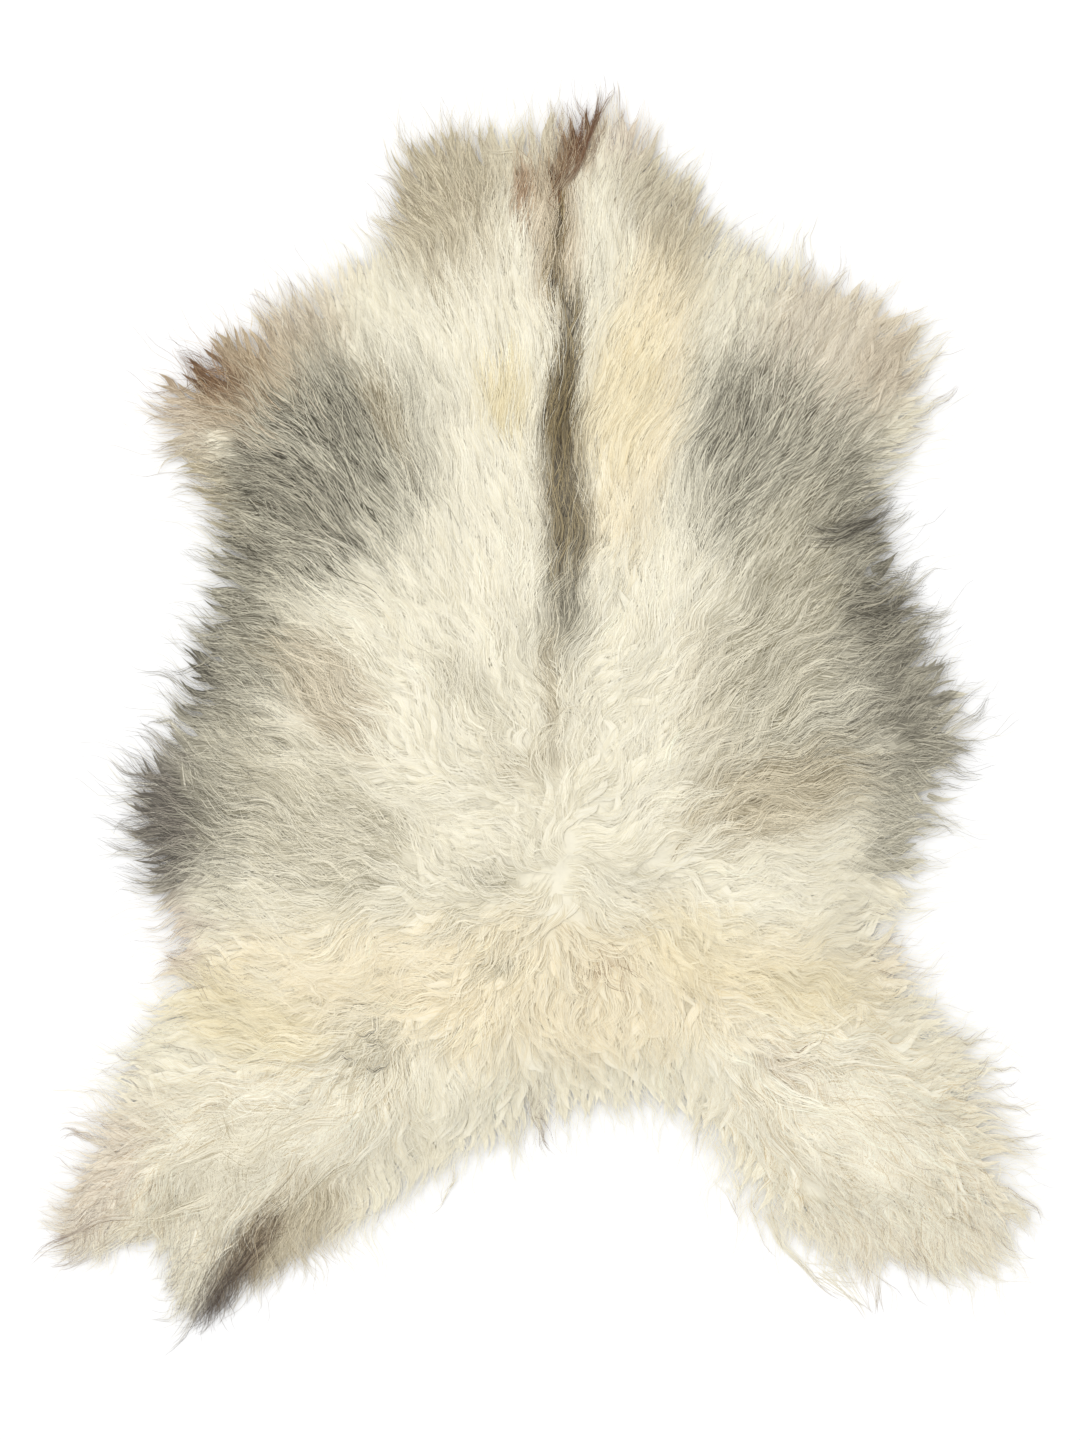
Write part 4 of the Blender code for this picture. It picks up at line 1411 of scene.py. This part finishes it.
def streaked_material():
    """The flat locks' wool: streaks along each lock, in both colours of its coat, with painted shade in the
    valleys between the streaks.
    """
    material, tree, shader = wool_shader("wool_streaked")
    streaks = streak_noise(tree)
    mixed = streak_colours(tree, streaks)
    # Painted shade: the colour darkens in the streaks' valleys, as between hairs.
    depths = {"From Min": 0.35, "From Max": 0.6, "To Min": 0.88, "To Max": 1.0}
    painted_valley_shade = node(tree, "ShaderNodeMapRange", depths)
    shaded = node(tree, "ShaderNodeVectorMath", operation="SCALE")
    link(tree, streaks, "Fac", painted_valley_shade, "Value")
    link(tree, mixed, "Result", shaded, 0)
    link(tree, painted_valley_shade, "Result", shaded, "Scale")
    link(tree, shaded, "Vector", shader, "Base Color")
    return material


def streak_noise(tree):
    """Noise drawn out along each ribbon, in the ribbon's own bake cell."""
    cells = CELLS_ACROSS[3]
    stretched = (cells * STREAKS_ACROSS, UNDER.locks / cells * STREAKS_ALONG, 0)
    place = node(tree, "ShaderNodeUVMap", uv_map="OFBake")
    stretch = node(tree, "ShaderNodeVectorMath", {1: stretched}, operation="MULTIPLY")
    streaks = node(tree, "ShaderNodeTexNoise", {"Scale": 1, "Detail": 1})
    link(tree, place, "UV", stretch, 0)
    link(tree, stretch, "Vector", streaks, "Vector")
    return streaks


def streak_colours(tree, streaks):
    """The coat's dark colour where the noise is high: over more of a ribbon the more dark hairs it has."""
    pale = node(tree, "ShaderNodeAttribute", attribute_name="Coat")
    dark = node(tree, "ShaderNodeAttribute", attribute_name="Coat dark")
    limit = node(tree, "ShaderNodeMath", {1: 0.34, 2: -0.62}, operation="MULTIPLY_ADD")
    above = node(tree, "ShaderNodeMath", operation="ADD")
    sharpened = node(tree, "ShaderNodeMapRange", {"From Min": -0.06, "From Max": 0.06})
    mixed = node(tree, "ShaderNodeMix", data_type="RGBA")
    link(tree, dark, "Alpha", limit, 0)
    link(tree, streaks, "Fac", above, 0)
    link(tree, limit, "Value", above, 1)
    link(tree, above, "Value", sharpened, "Value")
    link(tree, sharpened, "Result", mixed, "Factor")
    link(tree, pale, "Color", mixed, "A")
    link(tree, dark, "Color", mixed, "B")
    return mixed


def leather_material():
    """Napped flesh side of the skin: mottled, with a fine nap."""
    material, tree, shader = new_material("leather", 0.85)
    place = node(tree, "ShaderNodeTexCoord")
    mottle = node(tree, "ShaderNodeTexNoise", {"Scale": 9, "Detail": 6})
    tones = node(tree, "ShaderNodeValToRGB")
    dark, pale = tones.color_ramp.elements
    dark.position = 0.3
    dark.color = (0.50, 0.38, 0.26, 1)
    pale.position = 0.75
    pale.color = (0.70, 0.58, 0.44, 1)
    nap = node(tree, "ShaderNodeTexNoise", {"Scale": 420, "Detail": 4})
    bump = node(tree, "ShaderNodeBump", {"Strength": 0.35, "Distance": 0.6 * MM})
    link(tree, place, "Object", mottle, "Vector")
    link(tree, place, "Object", nap, "Vector")
    link(tree, mottle, "Fac", tones, "Fac")
    link(tree, tones, "Color", shader, "Base Color")
    link(tree, nap, "Fac", bump, "Height")
    link(tree, bump, "Normal", shader, "Normal")
    return material


# Pieces that are not hair

# The pad's faces are this wide. It stays this far below the wool's top and inside the rim, and is at
# least this thick. Its underside lies just above the hide.
BODY_PITCH = 8.0
BODY_SINK = 4.0
BODY_RIM = 5.0
BODY_LEAST = 3.0
BODY_FLOOR = 2.6

# How much of a coat's dark hairs shows in the pad, and how bright the pad is kept: a painted shade, for the
# shade deep below the hairs.
BODY_DARKNESS = 0.8
BODY_PAINTED_SHADE = 0.95

# The hide's cut edge is rounded by wear.
HIDE_WEAR = 0.5


def make_wool_body(skin):
    """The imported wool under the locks: a lumpy pad, drawn in a little from the fleece's own faces."""
    xs = np.arange(-GRID_HALF[0], GRID_HALF[0], BODY_PITCH)
    ys = np.arange(-GRID_HALF[1], GRID_HALF[1], BODY_PITCH)
    places = np.stack(np.meshgrid(xs, ys), axis=-1)
    kept = skin.depth.at(places) > BODY_RIM
    quads = kept[:-1, :-1] & kept[1:, :-1] & kept[:-1, 1:] & kept[1:, 1:]
    number = np.arange(kept.size).reshape(kept.shape)
    corners = np.stack((number[:-1, :-1], number[:-1, 1:], number[1:, 1:], number[1:, :-1]), axis=-1)
    used, faces = np.unique(corners[quads], return_inverse=True)
    faces = faces.reshape(-1, 4)
    flat = moved_to_rim(skin, places.reshape(-1, 2)[used], rim_vertices(faces, len(used)))
    top = with_height(flat, np.maximum(skin.top.at(flat) - BODY_SINK, BODY_FLOOR + BODY_LEAST))
    under = with_height(flat, np.full(len(flat), BODY_FLOOR))
    return pad_piece("wool_body", top, under, faces)


def rim_vertices(faces, count):
    """Which vertices lie on fewer than four of the faces."""
    return np.bincount(faces.ravel(), minlength=count) < 4


def moved_to_rim(skin, flat, edge):
    """The vertices, with those of the edge moved out to where the pad ends. Two rounds reach it."""
    for _ in range(2):
        shift = (skin.depth.at(flat) - BODY_RIM)[:, None] * skin.outward.at(flat)
        flat = np.where(edge[:, None], flat + shift, flat)
    return flat


def pad_piece(name, top, under, faces):
    """A closed pad between two sheets of the same faces."""
    sides = np.concatenate([faces[:, [k, (k + 1) % 4]] for k in range(4)])
    keys = np.sort(sides, axis=1)
    _, first, times = np.unique(keys, axis=0, return_index=True, return_counts=True)
    start, end = sides[first[times == 1]].T
    count = len(top)
    wall = np.stack((end, start, start + count, end + count), axis=-1)
    points = np.concatenate((top, under)) * MM
    every = np.concatenate((faces, faces[:, ::-1] + count, wall))
    mesh = bpy.data.meshes.new(name)
    mesh.from_pydata(points.tolist(), [], every.tolist())
    pale, dark, share = coat_at(points[:, :2] / MM)
    blend = (share * BODY_DARKNESS)[:, None]
    # The pad's coat colour, darkened by a painted shade.
    paint(mesh, "Coat", (pale * (1 - blend) + dark * blend) * BODY_PAINTED_SHADE)
    mesh.shade_smooth()
    return add_piece(name, mesh)


def make_hide():
    """The tanned skin: a thin sheet with the hide's cut outline and a slightly worn edge."""
    piece = add_piece("tanned_skin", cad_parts["hide"].data.copy())
    piece.data.name = "tanned_skin"
    piece.data.materials.clear()
    bevel = piece.modifiers.new("worn edge", "BEVEL")
    bevel.width = HIDE_WEAR * MM
    bevel.segments = 2
    bevel.limit_method = "ANGLE"
    piece.data.shade_smooth()
    piece.data.set_sharp_from_angle(angle=math.radians(30))
    return piece


# Floor, light and camera

FLOOR_HALF = 4.0
FLOOR_DROP = 0.1


def make_floor():
    bm = bmesh.new()
    bmesh.ops.create_grid(bm, x_segments=1, y_segments=1, size=FLOOR_HALF)
    mesh = bpy.data.meshes.new("floor")
    bm.to_mesh(mesh)
    bm.free()
    floor = bpy.data.objects.new("floor", mesh)
    floor.location.z = -FLOOR_DROP * MM
    bpy.context.collection.objects.link(floor)
    material, _, shader = new_material("floor", 0.9)
    shader.inputs["Base Color"].default_value = (0.95, 0.95, 0.95, 1)
    mesh.materials.append(material)


def add_area_light(name, place, size, power):
    light = bpy.data.lights.new(name, "AREA")
    light.shape = "DISK"
    light.size = size
    light.energy = power
    lamp = bpy.data.objects.new(name, light)
    lamp.location = place
    lamp.rotation_euler = (-Vector(place)).to_track_quat("-Z", "Y").to_euler()
    bpy.context.collection.objects.link(lamp)


def make_lights():
    add_area_light("key", place=(-1.0, 0.8, 6.6), size=4.8, power=332)
    world = bpy.data.worlds.new("studio")
    world.use_nodes = True
    background = world.node_tree.nodes["Background"]
    background.inputs["Color"].default_value = (1, 1, 1, 1)
    background.inputs["Strength"].default_value = 0.5
    bpy.context.scene.world = world
    bpy.context.scene.view_settings.view_transform = "Standard"


def make_camera():
    data = bpy.data.cameras.new("camera")
    data.lens = LENS
    data.sensor_width = SENSOR
    data.sensor_fit = "AUTO"
    camera = bpy.data.objects.new("camera", data)
    height = VIEW_HEIGHT * LENS / SENSOR + VIEW_LEVEL
    camera.location = (VIEW_MIDDLE[0] * MM, VIEW_MIDDLE[1] * MM, height * MM)
    bpy.context.collection.objects.link(camera)
    bpy.context.scene.camera = camera


def main():
    make_floor()
    make_lights()
    make_camera()
    skin = Skin()
    wool = wool_material()
    hair = [grow_layer(skin, layer) for layer in LAYERS]
    hair.append(grow_wisps(skin))
    under = grow_under(skin)
    body = make_wool_body(skin)
    for piece in [body, *hair]:
        piece.data.materials.append(wool)
    under.data.materials.append(streaked_material())
    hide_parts("fleece")
    hide = make_hide()
    hide.data.materials.append(leather_material())
    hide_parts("hide")


main()
